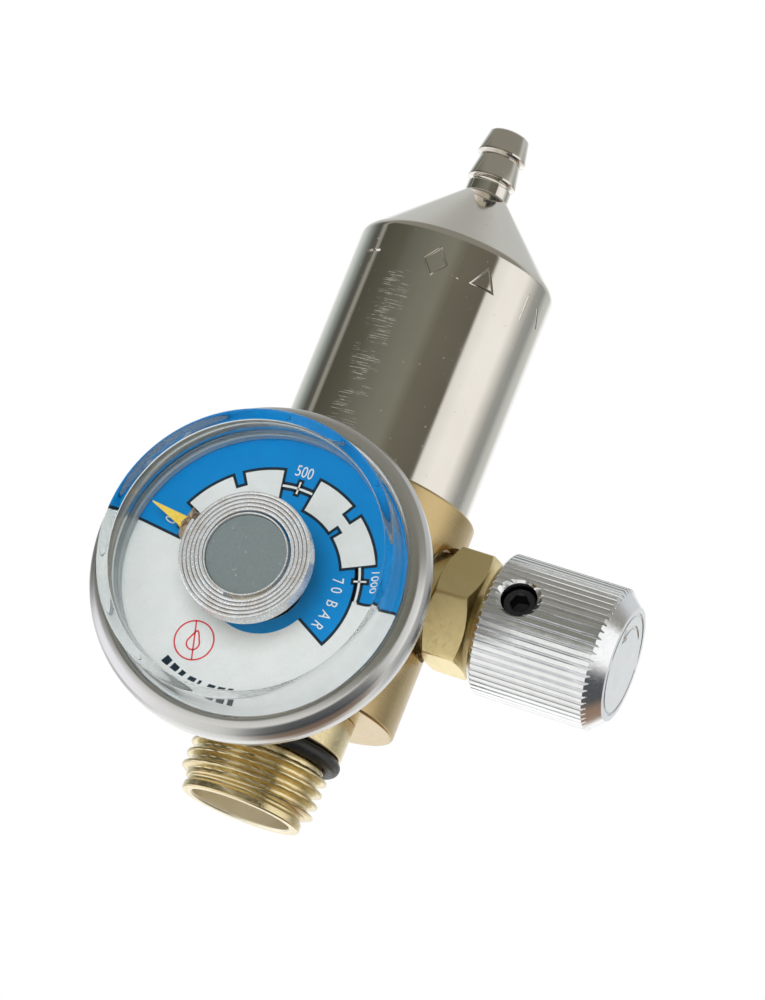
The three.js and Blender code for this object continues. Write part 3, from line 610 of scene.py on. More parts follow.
def plain(name, low, high, rough, scale=2.0, depth=0.004, **constants):
    """A paint, rubber or plastic with a fine uneven surface."""
    f = Finish(name, **constants)
    fine = f.grain(f.at, scale, 4.0)
    broad = f.grain(f.at, scale * 0.12, 2.0)
    share = f.half_and_half(fine, broad)
    f.colour(low, high, f.span(share, 0.3, 0.7))
    f.rough(rough[0], rough[1], fine)
    f.bump((fine, depth))
    return f.material


def cap_paint():
    f = Finish("grey_paint")
    fine = f.grain(f.at, 3.0, 4.0)
    specks = f.span(f.grain(f.at, 1.3, 3.0, 0.7), 0.66, 0.72)
    share = f.plus(f.times(f.span(fine, 0.3, 0.7), 0.08), f.times(specks, 0.6))
    f.colour((0.20, 0.235, 0.235), (0.50, 0.53, 0.53), share)
    f.rough(0.42, 0.6, fine)
    f.bump((fine, 0.002), (specks, 0.01))
    return f.material


def clear_plastic():
    """Lamps shine through the window; everything else meets clear acrylic."""
    f = Finish("clear_plastic", Transmission_Weight=1.0, IOR=1.08,
               Coat_Weight=0.15, Coat_IOR=1.45, Coat_Roughness=0.06)
    haze = f.grain(f.at, 0.3, 3.0)
    f.colour((0.94, 0.975, 0.985), (1.0, 1.0, 1.0), haze)
    f.rough(0.01, 0.03, haze)
    path = add(f.tree, "LightPath")
    skips = f.maths("MAXIMUM", path.outputs["Is Shadow Ray"], path.outputs["Is Diffuse Ray"])
    clear = add(f.tree, "BsdfTransparent", {"Color": (0.93, 0.95, 0.96)})
    inputs = {0: skips, 1: f.shader.outputs[0], 2: clear.outputs[0]}
    both = add(f.tree, "MixShader", inputs)
    f.tree.links.new(both.outputs[0], f.out.inputs["Surface"])
    return f.material


NICKEL = nickel_plate()
BODY_BRASS = brass(
    "turned_brass", MAIN, (0.46, 0.325, 0.145), (0.66, 0.515, 0.28),
    rough=(0.22, 0.34), lines_mm=6.0, line_depth=0.005,
)
GOLD_BRASS = brass(
    "yellow_brass", MAIN, (0.66, 0.52, 0.26), (0.86, 0.76, 0.50),
    rough=(0.16, 0.28), lines_mm=5.0, line_depth=0.003, scratch=0.004, bore_r=MOUTH_BORE_R + 0.2,
)
NUT_BRASS = brass(
    "nut_brass", VALVE, (0.74, 0.57, 0.23), (0.94, 0.82, 0.50),
    rough=(0.26, 0.36), lines_mm=4.0, line_depth=0.0015, scratch=0.006,
)
SOCKET_BRASS = brass(
    "socket_brass", GAUGE, (0.70, 0.52, 0.22), (0.88, 0.73, 0.42),
    rough=(0.18, 0.3), lines_mm=5.0, line_depth=0.003,
)
ALUMINIUM = aluminium()
BEZEL_STEEL = stainless("bezel_steel", GAUGE)
CASE_STEEL = stainless("case_steel", GAUGE, 1.35, (0.12, 0.20))
WASHER_STEEL = stainless("washer_steel", VALVE)
SPRING_STEEL = stainless("spring_steel", MAIN, 0.8)
COIL_METAL = coil_metal()
BLACK_STEEL = dark_steel()
SOLDER = solder()
SINTERED = sintered_bronze()
RUBBER = plain("black_rubber", (0.012, 0.013, 0.013), (0.035, 0.038, 0.036), (0.32, 0.5))
SILICONE = plain("pale_silicone", (0.50, 0.52, 0.53), (0.60, 0.62, 0.63), (0.32, 0.5))
POLYMER = plain("white_polymer", (0.74, 0.72, 0.66), (0.84, 0.82, 0.77), (0.4, 0.55))
WHITE_PRINT = plain("white_print", (0.80, 0.81, 0.80), (0.88, 0.885, 0.89), (0.42, 0.55), 3.0, 0.001)
BLUE_PRINT = plain("blue_print", (0.0, 0.235, 0.62), (0.0, 0.265, 0.68), (0.38, 0.5), 3.0, 0.001)
BLACK_PRINT = plain("black_print", (0.006, 0.018, 0.035), (0.012, 0.03, 0.05), (0.4, 0.5), 3.0, 0.001)
RED_PRINT = plain("red_print", (0.70, 0.045, 0.06), (0.78, 0.07, 0.09), (0.4, 0.5), 3.0, 0.001)
YELLOW_PAINT = plain("pointer_yellow", (0.86, 0.55, 0.05), (0.95, 0.70, 0.14), (0.35, 0.5), 3.0, 0.006)
GREY_PAINT = cap_paint()
CLEAR = clear_plastic()

# --- inlet ---


def thread_radius(height, facets):
    """The radius of the male thread at one height, one value per facet."""
    crest, root = THREAD_R, THREAD_R - 0.61 * THREAD_PITCH
    angles = np.arange(facets) / facets
    phase = ((THREAD_TOP_Z - height) / THREAD_PITCH + angles + 0.35) % 1.0
    slope = np.clip((np.abs(phase - 0.5) * 2 - 0.22) / 0.62, 0, 1)
    slope = slope * slope * (3 - 2 * slope) * 0.5 + slope * 0.5
    ends = min(1, max(0, (THREAD_TOP_Z - height) / 0.35), max(0, (height - THREAD_END_Z) / 0.45))
    return root + (crest - root) * slope * ends


def add_nipple():
    upper = outline([
        (1.5, STUB_TOP_Z), (6.7, STUB_TOP_Z, 0.3), (6.7, BODY_BOTTOM_Z, 0.05),
        (NECK_R, BODY_BOTTOM_Z, 0.1), (NECK_R, 0, 0.3), (ORING_GROOVE_R, 0, 0.15),
        (ORING_GROOVE_R, THREAD_TOP_Z + 0.2, 0.15), (THREAD_R - 0.8, THREAD_TOP_Z + 0.05),
    ], closed=False)
    per_pitch = 26
    step = THREAD_PITCH / per_pitch
    count = int((THREAD_TOP_Z - THREAD_END_Z) / step)
    heights = [THREAD_TOP_Z - i * step for i in range(count + 1)]
    thread = [(thread_radius(z, FINE), z) for z in heights]
    waist = PILOT_R - 0.3
    lower = outline([
        (THREAD_R - 0.87, THREAD_END_Z - 0.02), (waist, THREAD_END_Z - 0.15, 0.2),
        (waist, THREAD_END_Z - 0.45, 0.3), (PILOT_R, THREAD_END_Z - 0.75, 0.2),
        (PILOT_R, MOUTH_Z, 0.22), (MOUTH_BORE_R, MOUTH_Z, 0.3), (MOUTH_BORE_R, -3.1, 0.1),
        (3.5, -3.1, 0.15), (3.5, 0, 0.1), (1.5, 0),
    ], closed=False)
    nipple = skin(upper + thread + lower, FINE, True)
    part("inlet_nipple", nipple, MAIN, GOLD_BRASS)


def depressor():
    plate_low = -2.5
    pin = solid("depressor_pin_fine", lathe([
        (0, -5.0), (1.0, -5.0, 0.25), (1.0, plate_low, 0.1), (3.3, plate_low, 0.1),
        (3.3, plate_low + 0.6, 0.1), (0, plate_low + 0.6),
    ], MIDDLE, False))
    holes = []
    for i in range(3):
        angle = i * 2 * pi / 3
        spot = Matrix.Translation((2.15 * cos(angle), 2.15 * sin(angle), 0))
        holes.append(solid("hole", rod(0.6, -3, -1), spot))
    return carve(pin, *holes)


def add_inlet():
    add_nipple()
    low, high = box_mm("inlet_oring")
    section = circle(ORING_SECTION_R, 24, (high.x - ORING_SECTION_R, (low.z + high.z) / 2))
    part("inlet_oring", skin(section, FINE, True), MAIN, RUBBER)
    piece(depressor(), GOLD_BRASS, "depressor_pin")
    filter_low, filter_high = box_mm("inlet_filter")
    sinter = disc(filter_high.x, filter_low.z, filter_high.z, 0.15, 0.15)
    part("inlet_filter", sinter, MAIN, SINTERED)
    ring_low, ring_high = box_mm("filter_retaining_ring")
    outer, inner = ring_high.x, ring_high.x - 0.65
    wire = washer(inner, outer, ring_low.z, ring_high.z, 0.12, MIDDLE)
    ring = solid("retaining_ring_fine", wire)
    piece(ring, SPRING_STEEL, "filter_retaining_ring")


# --- body ---

STUB_HOLE_R = 7.0
GAUGE_PORT_R = 4.86
VALVE_CHAMBER_R, VALVE_PORT_R, VALVE_SEAT_R = 3.6, 4.95, 1.1
SPOTFACE_R = 6.7
NOZZLE_HOLE_R = 2.65
PISTON_STEM_HOLE_R, PISTON_SEAL_GROOVE_R = 3.3, 4.3
SPIGOT_GROOVE_R, SPIGOT_GROOVE_LOW, SPIGOT_GROOVE_HIGH = 8.75, 32.6, 34.2


def bore(place, low, high, radius, facets=64):
    """A round cutter along the axis of a turned group."""
    return solid("drill", rod(radius, low, high, facets), place)


def towards(way):
    """Turns local Z to that direction."""
    return Vector((0, 0, 1)).rotation_difference(way).to_matrix().to_4x4()


def drill(start, end, radius, facets=64):
    """A round cutter between two points."""
    run = Vector(end) - Vector(start)
    place = Matrix.Translation(start) @ towards(run)
    return solid("drill", rod(radius, 0, run.length, facets), place)


def add_body():
    blank = solid("valve_body_fine", lathe([
        (0, BODY_BOTTOM_Z), (BODY_R, BODY_BOTTOM_Z, 0.45), (BODY_R, BODY_TOP_Z, 0.4),
        (SPIGOT_R, BODY_TOP_Z, 0.1), (SPIGOT_R, SPIGOT_GROOVE_LOW, 0.1),
        (SPIGOT_GROOVE_R, SPIGOT_GROOVE_LOW, 0.1), (SPIGOT_GROOVE_R, SPIGOT_GROOVE_HIGH, 0.1),
        (SPIGOT_R, SPIGOT_GROOVE_HIGH, 0.1), (SPIGOT_R, SPIGOT_TOP_Z, 0.4), (0, SPIGOT_TOP_Z),
    ], FINE, False))
    carve(
        blank,
        bore(MAIN, BODY_BOTTOM_Z - 1, STUB_TOP_Z + 0.2, STUB_HOLE_R, FINE),
        bore(MAIN, STUB_TOP_Z, GAUGE_Z + 0.8, 1.4),
        bore(GAUGE, 8, 15, GAUGE_PORT_R),
        bore(GAUGE, -0.6, 8.5, 1.2),
        drill((1.0, 0, STUB_TOP_Z - 0.6), (5.0, 0, VALVE_Z - 2.6), 0.9),
        bore(VALVE, 3.6, 8, VALVE_CHAMBER_R),
        bore(VALVE, 7, 12, VALVE_PORT_R),
        bore(VALVE, SPOTFACE_X, 15, SPOTFACE_R, FINE),
        bore(VALVE, -0.5, 4.1, VALVE_SEAT_R),
        bore(MAIN, VALVE_Z - 0.4, 23, 1.0),
        bore(MAIN, 22.5, 27, NOZZLE_HOLE_R),
        bore(MAIN, 26.2, SPIGOT_TOP_Z + 1, PISTON_STEM_HOLE_R),
        bore(MAIN, 31.0, 32.6, PISTON_SEAL_GROOVE_R),
    )
    piece(blank, BODY_BRASS, "valve_body")


# --- bonnet and hose barb ---

STAMP_GROOVE_R = 0.17
STAMPS_ABOVE_EDGE = 24.7      # height of the row of stamps over the bonnet's lower edge
BONNET_BORE_R = 10.2
PISTON_CEILING_Z = 52.1
VENT_Z, VENT_R = 40, 0.5
BONNET_SHOULDER_ROUND = 1.4
CONE_TIP_R, BARB_SEAT_R, BARB_SEAT_Z = 2.75, 2.3, 57.0
PISTON_ROOM_R, PISTON_ROOM_TOP_Z = 8.8, 53.6
OUTLET_R = 1.2
BARB_EDGE_R, BARB_TIP_R = 2.9, 2.4
BARB_EDGES_Z = (70.12, 73.37)


def wrapped(shape, radius):
    """Bends a flat shape, drawn as seen from outside, round the main axis. X = 0 faces the front."""
    points, faces = shape
    angle = points[:, 0] / radius
    r = radius + points[:, 2]
    return np.stack([r * np.sin(angle), -r * np.cos(angle), points[:, 1]], 1), faces


def stamped_marks():
    """Generic stamped marks near the top of the cylinder: cross, lozenge, dot, triangle, bars."""
    groove = circle(STAMP_GROOVE_R, 8)
    level = BONNET_BOTTOM_Z + STAMPS_ABOVE_EDGE

    def around(degrees):
        return radians(degrees) * BONNET_R

    def bar(x, half_wide, half_high):
        start = Vector((x - half_wide, level + half_high))
        end = Vector((x + half_wide, level - half_high))
        return sweep(groove, flat(start.lerp(end, t / 6) for t in range(7)))

    marks = [bar(around(-37), 1.2, 0), bar(around(-37), 0, -1.5)]
    marks.append(sweep(groove, flat(circle(1.35, 4, (around(5.5), level), 0, 1.25)), True))
    marks.append(moved(rod(0.3, -0.25, 0.4, 12), Matrix.Translation((around(20), level - 1.2, 0))))
    marks.append(sweep(groove, flat(circle(1.6, 3, (around(35), level), pi / 2)), True))
    marks += [bar(around(66), 0, -1.6), bar(around(82), 0.8, 1.0)]
    return [solid("mark", wrapped(mark, BONNET_R + 0.04)) for mark in marks]


def add_bonnet():
    shoulder_z = CONE_TOP_Z + CONE_TIP_R - BONNET_R
    blank = solid("bonnet_fine", lathe([
        (BONNET_BORE_R, BONNET_BOTTOM_Z, 0.1), (BONNET_R, BONNET_BOTTOM_Z, 0.2),
        (BONNET_R, shoulder_z, BONNET_SHOULDER_ROUND),
        (CONE_TIP_R, CONE_TOP_Z, 0.1), (BARB_SEAT_R, CONE_TOP_Z, 0.1), (BARB_SEAT_R, BARB_SEAT_Z),
        (OUTLET_R, BARB_SEAT_Z), (OUTLET_R, PISTON_ROOM_TOP_Z),
        (PISTON_ROOM_R, PISTON_ROOM_TOP_Z, 0.3), (PISTON_ROOM_R, PISTON_CEILING_Z),
        (BONNET_BORE_R, PISTON_CEILING_Z),
    ], FINE))
    vent = drill((0, 9, VENT_Z), (0, 13, VENT_Z), VENT_R, 24)
    carve(blank, vent, *stamped_marks())
    piece(blank, NICKEL, "bonnet")


def add_barb():
    """A stub in the cone, a collar, and two barbs that taper towards the tip."""
    base, tip, low = CONE_TOP_Z + 0.05, BARB_HIGH.z, BARB_LOW.z
    first, second = BARB_EDGES_Z
    barb = lathe([
        (OUTLET_R, low), (2.1, low, 0.1), (2.1, base, 0.02), (2.6, base, 0.1),
        (2.6, base + 1.4, 0.12), (2.2, base + 1.45, 0.1),
        (2.3, first - 0.17, 0.05), (BARB_EDGE_R, first, 0.06),
        (BARB_EDGE_R, first + 0.23, 0.1), (BARB_TIP_R, second - 0.27, 0.04),
        (2.35, second - 0.17, 0.04), (BARB_EDGE_R, second, 0.06),
        (BARB_EDGE_R, second + 0.23, 0.1), (BARB_TIP_R, tip - 0.2, 0.1),
        (2.2, tip, 0.1), (OUTLET_R, tip, 0.15),
    ], MIDDLE)
    part("hose_barb", barb, MAIN, NICKEL)


# --- gauge, with places along its axis measured from the main axis ---

SOCKET_R, SOCKET_POST_R = 4.6, 4.5
SOCKET_START, SOCKET_HEX_START, SOCKET_END = 8.3, 13.4, 29.8
SOCKET_HEX_FLAT_R = 5.5
CASE_HOLE_R, CASE_WALL, CASE_FLOOR = 4.75, 0.7, 1.2
FLANGE_BACK, LEDGE, RIM_FRONT, RIM_INNER_R = 21.0, 21.6, 24.6, 17.25
BEZEL_BACK, BEZEL_HOOK_R, BEZEL_LIP_R, BEZEL_INNER_R, LIP_BACK = 20.4, 16.75, 16.45, 18.1, 25.2
LENS_FLANGE_FRONT = 24.9


def hex_rows(facets, flat_r, low, high, hole_low, hole_high):
    """Rows of a hexagon whose two ends have a 30 degree chamfer, from one hole edge to the other."""
    side = hex_radius(facets, flat_r)
    rise = (side - flat_r * 0.97) * tan(pi / 6)
    return [
        (hole_low, low), (flat_r * 0.95, low), (flat_r * 0.97, low + 0.02), (side, low + rise),
        (side, low + rise + 0.05), (side, high - rise - 0.05), (side, high - rise),
        (flat_r * 0.97, high - 0.02), (flat_r * 0.95, high), (hole_high, high),
    ]


def add_socket():
    facets = 240
    back = CASE_BACK - 0.05
    lower = [(0, SOCKET_START), (SOCKET_R, SOCKET_START, 0.3), (SOCKET_R, SOCKET_HEX_START - 0.02)]
    rows = outline(lower, closed=False)
    rows += hex_rows(facets, SOCKET_HEX_FLAT_R, SOCKET_HEX_START, back, SOCKET_R, SOCKET_POST_R)
    post = [(SOCKET_POST_R, back + 0.01), (SOCKET_POST_R, SOCKET_END, 0.1), (0, SOCKET_END)]
    rows += outline(post, closed=False)
    socket = solid("gauge_socket_fine", skin(rows, facets, False), GAUGE)
    carve(socket, bore(GAUGE, 7, 29.0, 0.8, 24))
    piece(socket, SOCKET_BRASS, "gauge_socket")


def add_case():
    """A cup with a flange that holds the lens and dial."""
    inside_r, floor = CASE_R - CASE_WALL, CASE_BACK + CASE_FLOOR
    case = lathe([
        (CASE_HOLE_R, CASE_BACK, 0.1), (CASE_R, CASE_BACK, 1.2), (CASE_R, FLANGE_BACK, 0.3),
        (CASE_FLANGE_R, FLANGE_BACK, 0.1), (CASE_FLANGE_R, RIM_FRONT, 0.1),
        (RIM_INNER_R, RIM_FRONT), (RIM_INNER_R, LEDGE), (inside_r, LEDGE),
        (inside_r, floor, 0.6), (CASE_HOLE_R, floor, 0.1),
    ])
    part("gauge_case", case, GAUGE, CASE_STEEL)


def add_bezel():
    """Rolled from a hook behind the case's flange to a lip in front of the lens."""
    bezel = lathe([
        (BEZEL_HOOK_R, 20.95, 0.15), (BEZEL_HOOK_R, BEZEL_BACK, 0.25), (17.85, BEZEL_BACK, 0.6),
        (18.45, 21.6, 1.2), (BEZEL_R, 23.6, 2.0), (18.8, 24.6, 1.2), (18.5, 25.5, 0.8),
        (17.8, 26.15, 0.9), (16.9, 26.4, 0.5), (BEZEL_LIP_R, 25.95, 0.2),
        (BEZEL_LIP_R, LIP_BACK, 0.05), (17.6, LIP_BACK, 0.1),
        (BEZEL_INNER_R, 24.8, 0.1), (BEZEL_INNER_R, 20.95, 0.1),
    ])
    part("gauge_bezel", bezel, GAUGE, BEZEL_STEEL)


def add_lens():
    inner_front = LENS_FRONT - LENS_WINDOW
    lens = lathe([
        (0, inner_front), (LENS_HOLE_R, inner_front, 0.6), (LENS_HOLE_R, LENS_BACK, 0.1),
        (LENS_FLANGE_R, LENS_BACK, 0.1), (LENS_FLANGE_R, LENS_FLANGE_FRONT, 0.1),
        (LENS_R, LENS_FLANGE_FRONT, 0.1),
        (LENS_R, LENS_FRONT, 1.4), (0, LENS_FRONT),
    ], FINE, False)
    part("gauge_lens", lens, GAUGE, CLEAR)
    gasket = washer(GASKET_HOLE_R, LENS_FLANGE_R, DIAL_FACE + 0.06, GASKET_FRONT, 0.1)
    part("lens_gasket", gasket, GAUGE, SILICONE)


# --- dial, with angles in degrees clockwise from the top ---

INK = 0.015          # thickness of one printed layer
LINE_W = 0.32        # outline of the printed areas
SCALE_OUT, SCALE_IN = 12.5, 8.5
NOTCH_OUT, NOTCH_IN = 11.05, 9.65
STRIP_R = 10.62      # the thin white line that joins the scale's blocks
BLUE_FROM, BLUE_TO = -82.3, 87.2
UNIT_TO = 119.0      # end of the inner blue area that carries the unit
UNIT_R, HUB_R = 10.2, 6.25
LOW_BLOCK, HIGH_BLOCK = (-64.3, -10.4), (8.6, 66.0)
DIAL_HOLE_R, BLUE_HOLE_R, BLUE_R = 4.8, 4.85, DIAL_R - 0.3
DASHES_R, DASHES_FROM = 13.6, 211.0
DASH_PITCH, DASH_LENGTH, DASH_WIDTH = 5.2, 3.7, 0.95
DASH_SHARES = (1.0, 1.0, 0.7, 1.0, 0.4, 1.0, 1.0, 0.7)
SIGN_R, SIGN_LINE, SIGN_AT = 2.2, 0.17, (10.0, 207.6)
TOP_LAYER = 4
LETTER_HEIGHT, LETTER_WIDTH = 1.33, 0.76
CAPITAL_SHARE = 0.73     # height of a capital against the font's size
SCALE_NUMBERS = (("500", 12.6, -0.5), ("0", 12.75, -76.3), ("1000", 12.5, 75.0))
UNIT_LETTERS_R, UNIT_LETTERS_AT = 8.3, (74.7, 81.9, 92.9, 102.8, 112.4)


def on_dial(radius, degrees):
    angle = radians(degrees)
    return radius * sin(angle), radius * cos(angle)


def arc(radius, start, end, step=2.0):
    count = max(1, ceil(abs(end - start) / step))
    return [on_dial(radius, start + (end - start) * i / count) for i in range(count + 1)]


def sector(inner, outer, start, end):
    return arc(outer, start, end) + arc(inner, end, start)


def layer(number):
    """(low, high) of a printed layer above the dial's face."""
    return DIAL_FACE + INK * (number - 1), DIAL_FACE + INK * number


def stroke(path, width, number, closed=False):
    low, high = layer(number)
    half = width / 2
    section = [(-half, low), (half, low), (half, high), (-half, high)]
    return sweep(section, flat(path), closed)


def scale_block(ends, notch, inner_notch):
    """Two blocks of the scale, joined between an outer and an inner notch."""
    start, end = ends
    border = arc(SCALE_OUT, start, notch[0]) + arc(NOTCH_OUT, *notch)
    border += arc(SCALE_OUT, notch[1], end) + arc(SCALE_IN, end, inner_notch[1])
    return border + arc(NOTCH_IN, *inner_notch[::-1]) + arc(SCALE_IN, inner_notch[0], start)


def letters(text, radius, degrees):
    """Printed characters, with their tops turned outwards."""
    curve = bpy.data.curves.new("letters", "FONT")
    curve.body = text
    curve.align_x, curve.align_y = "CENTER", "CENTER"
    curve.size = LETTER_HEIGHT / CAPITAL_SHARE
    curve.extrude = INK / 2
    curve.resolution_u = 4
    made = placed("letters", curve)
    graph = bpy.context.evaluated_depsgraph_get()
    mesh = bpy.data.meshes.new_from_object(made.evaluated_get(graph))
    points = np.array([v.co for v in mesh.vertices], float).reshape(-1, 3)
    faces = [tuple(p.vertices) for p in mesh.polygons]
    bpy.data.objects.remove(made)
    bpy.data.meshes.remove(mesh)
    points[:, 0] -= (points[:, 0].max() + points[:, 0].min()) / 2
    points[:, 1] -= (points[:, 1].max() + points[:, 1].min()) / 2
    points[:, 0] *= LETTER_WIDTH
    x, y = on_dial(radius, degrees)
    place = Matrix.Translation((x, y, sum(layer(TOP_LAYER)) / 2))
    return moved((points, faces), place @ Matrix.Rotation(-radians(degrees), 4, "Z"))


def cross_paths(degrees, start, end):
    """The white line over one gap of the scale, and its tick."""
    tick = [on_dial(NOTCH_IN + 0.35, degrees), on_dial(NOTCH_OUT + 0.35, degrees)]
    edge = [on_dial(NOTCH_IN + 0.05, degrees), on_dial(NOTCH_OUT + 0.65, degrees)]
    return arc(STRIP_R, start, end), tick, edge


def warning_sign():
    """A generic red sign: a ring, a bar and a drop."""
    x, y = on_dial(*SIGN_AT)
    ring = circle(SIGN_R, 48, (x, y))
    bar = circle(SIGN_R, 2, (x, y), radians(105 - 180))
    low = y - 0.35
    bulb = circle(0.72, 28, (x, low))
    drop = [(a, b + 0.75 * max(0, (b - low) / 0.72) ** 6) for a, b in bulb]
    return merge(*(stroke(path, SIGN_LINE, 2, path is not bar) for path in (ring, bar, drop)))


def printed_dashes():
    """A row of plain dashes along the lower edge, in place of small print."""
    dashes = []
    for i, share in enumerate(DASH_SHARES):
        start = DASHES_FROM - i * DASH_PITCH
        dash = arc(DASHES_R, start, start - DASH_LENGTH * share, 1.0)
        dashes.append(stroke(dash, DASH_WIDTH, 1))
    return merge(*dashes)


def add_dial():
    blank = washer(DIAL_HOLE_R, DIAL_R, DIAL_BACK, DIAL_FACE, 0.1)
    part("gauge_dial", blank, GAUGE, WHITE_PRINT)
    blue = merge(
        plate(sector(BLUE_HOLE_R, BLUE_R, BLUE_FROM, BLUE_TO), *layer(1)),
        plate(sector(BLUE_HOLE_R, UNIT_R, BLUE_TO, UNIT_TO), *layer(1)),
        plate(sector(BLUE_HOLE_R, HUB_R, UNIT_TO, 360 + BLUE_FROM), *layer(1)),
    )
    blocks = [
        scale_block(LOW_BLOCK, notch=(-37.3, -32.0), inner_notch=(-38.5, -34.0)),
        scale_block(HIGH_BLOCK, notch=(31.6, 37.9), inner_notch=(35.9, 40.0)),
    ]
    gaps = [
        (-76.0, BLUE_FROM, LOW_BLOCK[0]), (-0.6, LOW_BLOCK[1], HIGH_BLOCK[0]),
        (74.5, HIGH_BLOCK[1], BLUE_TO),
    ]
    white = [plate(block, *layer(2)) for block in blocks]
    black = [stroke(block, LINE_W, 3, True) for block in blocks]
    for degrees, start, end in gaps:
        line, tick, edge = cross_paths(degrees, start, end)
        black += [stroke(line, 0.95, 3), stroke(edge, 0.72, 3)]
        white += [stroke(line, 0.26, 4), stroke(tick, 0.2, 4)]
    for edge in (BLUE_FROM, BLUE_TO):
        black.append(stroke([on_dial(STRIP_R, edge), on_dial(BLUE_R, edge)], LINE_W, 3))
    unit_edge = arc(UNIT_R, HIGH_BLOCK[1], UNIT_TO) + [on_dial(HUB_R, UNIT_TO)]
    black.append(stroke(unit_edge, LINE_W, 3))
    black.append(printed_dashes())
    joint = sector(STRIP_R - 0.26, STRIP_R + 0.26, BLUE_TO - 0.2, BLUE_TO + 1.0)
    white.append(plate(joint, *layer(TOP_LAYER)))
    white += [letters(text, radius, degrees) for text, radius, degrees in SCALE_NUMBERS]
    white += [letters(text, UNIT_LETTERS_R, degrees) for text, degrees in zip("70BAR", UNIT_LETTERS_AT)]
    for name, shapes, material in (
        ("dial_blue", [blue], BLUE_PRINT),
        ("dial_white", white, WHITE_PRINT),
        ("dial_black", black, BLACK_PRINT),
        ("dial_red", [warning_sign()], RED_PRINT),
    ):
        piece(solid(name, merge(*shapes), GAUGE), material)


def add_coil():
    half_width = (COIL_FRONT - COIL_BACK) / 2
    half_strip = COIL_STRIP / 2
    section = []
    for end in (1, -1):
        for i in range(7):
            t = pi * i / 6
            up = half_width - half_strip + half_strip * sin(t)
            section.append((end * half_strip * cos(t), end * up))
    outer = COIL_R - half_strip
    inner = COIL_INNER_R + half_strip
    turns = (outer - inner) / COIL_PITCH
    level = (COIL_FRONT + COIL_BACK) / 2
    path = spiral(turns, 90, pi / 2 + POINTER_ZERO, (outer, inner), (level, level))
    inner_end = lathe([
        (CAP_R + 0.03, CAP_BACK, 0.05), (COIL_INNER_R, CAP_BACK, 0.05),
        (COIL_INNER_R, COIL_FRONT - 0.1, 0.08), (CAP_R + 0.03, COIL_FRONT - 0.1, 0.08),
    ], MIDDLE)
    part("bourdon_coil", merge(sweep(section, path), inner_end), GAUGE, COIL_METAL)
    cap = disc(CAP_R, CAP_BACK, CAP_FRONT, 0.1, 0.12)
    part("coil_cap", cap, GAUGE, GREY_PAINT)


def lump(size, centre, roughness, seed):
    """A soft-edged block with an uneven surface."""
    work = bmesh.new()
    bmesh.ops.create_cube(work, size=2)
    bmesh.ops.subdivide_edges(work, edges=work.edges, cuts=7, use_grid_fill=True)
    points = []
    for v in work.verts:
        p = v.co.copy()
        longest = max(abs(p.x), abs(p.y), abs(p.z))
        p = p.lerp(p.normalized() * longest, 0.45)
        p *= 1 + roughness * noise.noise(p * 2.2 + Vector((seed, 0, 0)))
        points.append(Vector(centre) + p * Vector(size) / 2)
    faces = [tuple(v.index for v in face.verts) for face in work.faces]
    work.free()
    return np.array(points), faces


def add_pointer():
    turn = Matrix.Rotation(POINTER_ZERO, 4, "Z")
    level, thick = 24.95, 0.22
    border = [(-0.72, 9.9), (0.72, 9.9), (0.62, 10.6), (0.07, 14.6), (-0.07, 14.6), (-0.62, 10.6)]
    blade = solid("pointer_blade", plate(border, level, level + thick), GAUGE @ turn)
    bevel = blade.modifiers.new("edges", "BEVEL")
    bevel.width = 0.04 * MM
    bevel.segments = 2
    settle(blade)
    piece(blade, YELLOW_PAINT, "gauge_pointer", "pointer")
    arm = merge(
        lump((1.7, 3.0, 0.5), (0.0, 8.9, level + 0.08), 0.35, 1.0),
        lump((3.4, 0.9, 5.6), (-0.5, 7.75, level + 2.75), 0.3, 7.0),
    )
    piece(solid("pointer_arm", arm, GAUGE @ turn), SOLDER, body="pointer")


# --- on/off valve, with places along its axis measured from the main axis ---

GLAND_START, GLAND_R, GLAND_HOLE_R = 7.3, 4.7, 2.75
COLLAR_START, COLLAR_R = 11.8, 6.0
SEAL_ROOM_END, SEAL_ROOM_R = 10.5, 3.8
PAD_POCKET_R, STEM_COLLAR_R, STEM_START, STEM_END = 1.15, 3.3, 5.0, 32.1
SCREW_START, SCREW_R, SCREW_HOLE_R, HOLE_RIM_R = 2.85, 1.85, 2.05, 2.75
STEM_BODY = "knob_and_stem"


def add_gland():
    facets = 288
    rows = outline([
        (0, GLAND_START), (GLAND_R, GLAND_START, 0.3), (GLAND_R, COLLAR_START, 0.05),
        (COLLAR_R, COLLAR_START, 0.15),
    ], closed=False)
    rows += [(COLLAR_R, NUT_START - 0.02)]
    rows += hex_rows(facets, NUT_FLAT_R, NUT_START, NUT_END, COLLAR_R, GLAND_HOLE_R)[:-1]
    rows += outline([
        (GLAND_HOLE_R + 0.2, NUT_END), (GLAND_HOLE_R, NUT_END - 0.2),
        (GLAND_HOLE_R, SEAL_ROOM_END - 0.1), (0, SEAL_ROOM_END - 0.1),
    ], closed=False)
    nut = solid("gland_nut_fine", skin(rows, facets, False), VALVE)
    carve(nut, bore(VALVE, 6, SEAL_ROOM_END, SEAL_ROOM_R, 96))
    piece(nut, NUT_BRASS, "gland_nut")
    start = SPOTFACE_X + 0.05
    ring = washer(5.05, 6.3, start, SPOTFACE_X + 0.75, 0.08, MIDDLE)
    part("gland_washer", ring, VALVE, WASHER_STEEL)


END_GROOVE_R, END_RING_R, ARROW_R = 0.22, 5.75, 4.3
START_CHAMFER = 0.8                          # 45 degrees at the nut's side, 0.7 deep
END_CHAMFER_R, END_CHAMFER_X = 1.65, 1.8     # across and along the knob
SIDE_SHARES = (0.0, 0.04, 0.12, 0.22, 0.32, 0.42, 0.6, 0.8, 1.0)


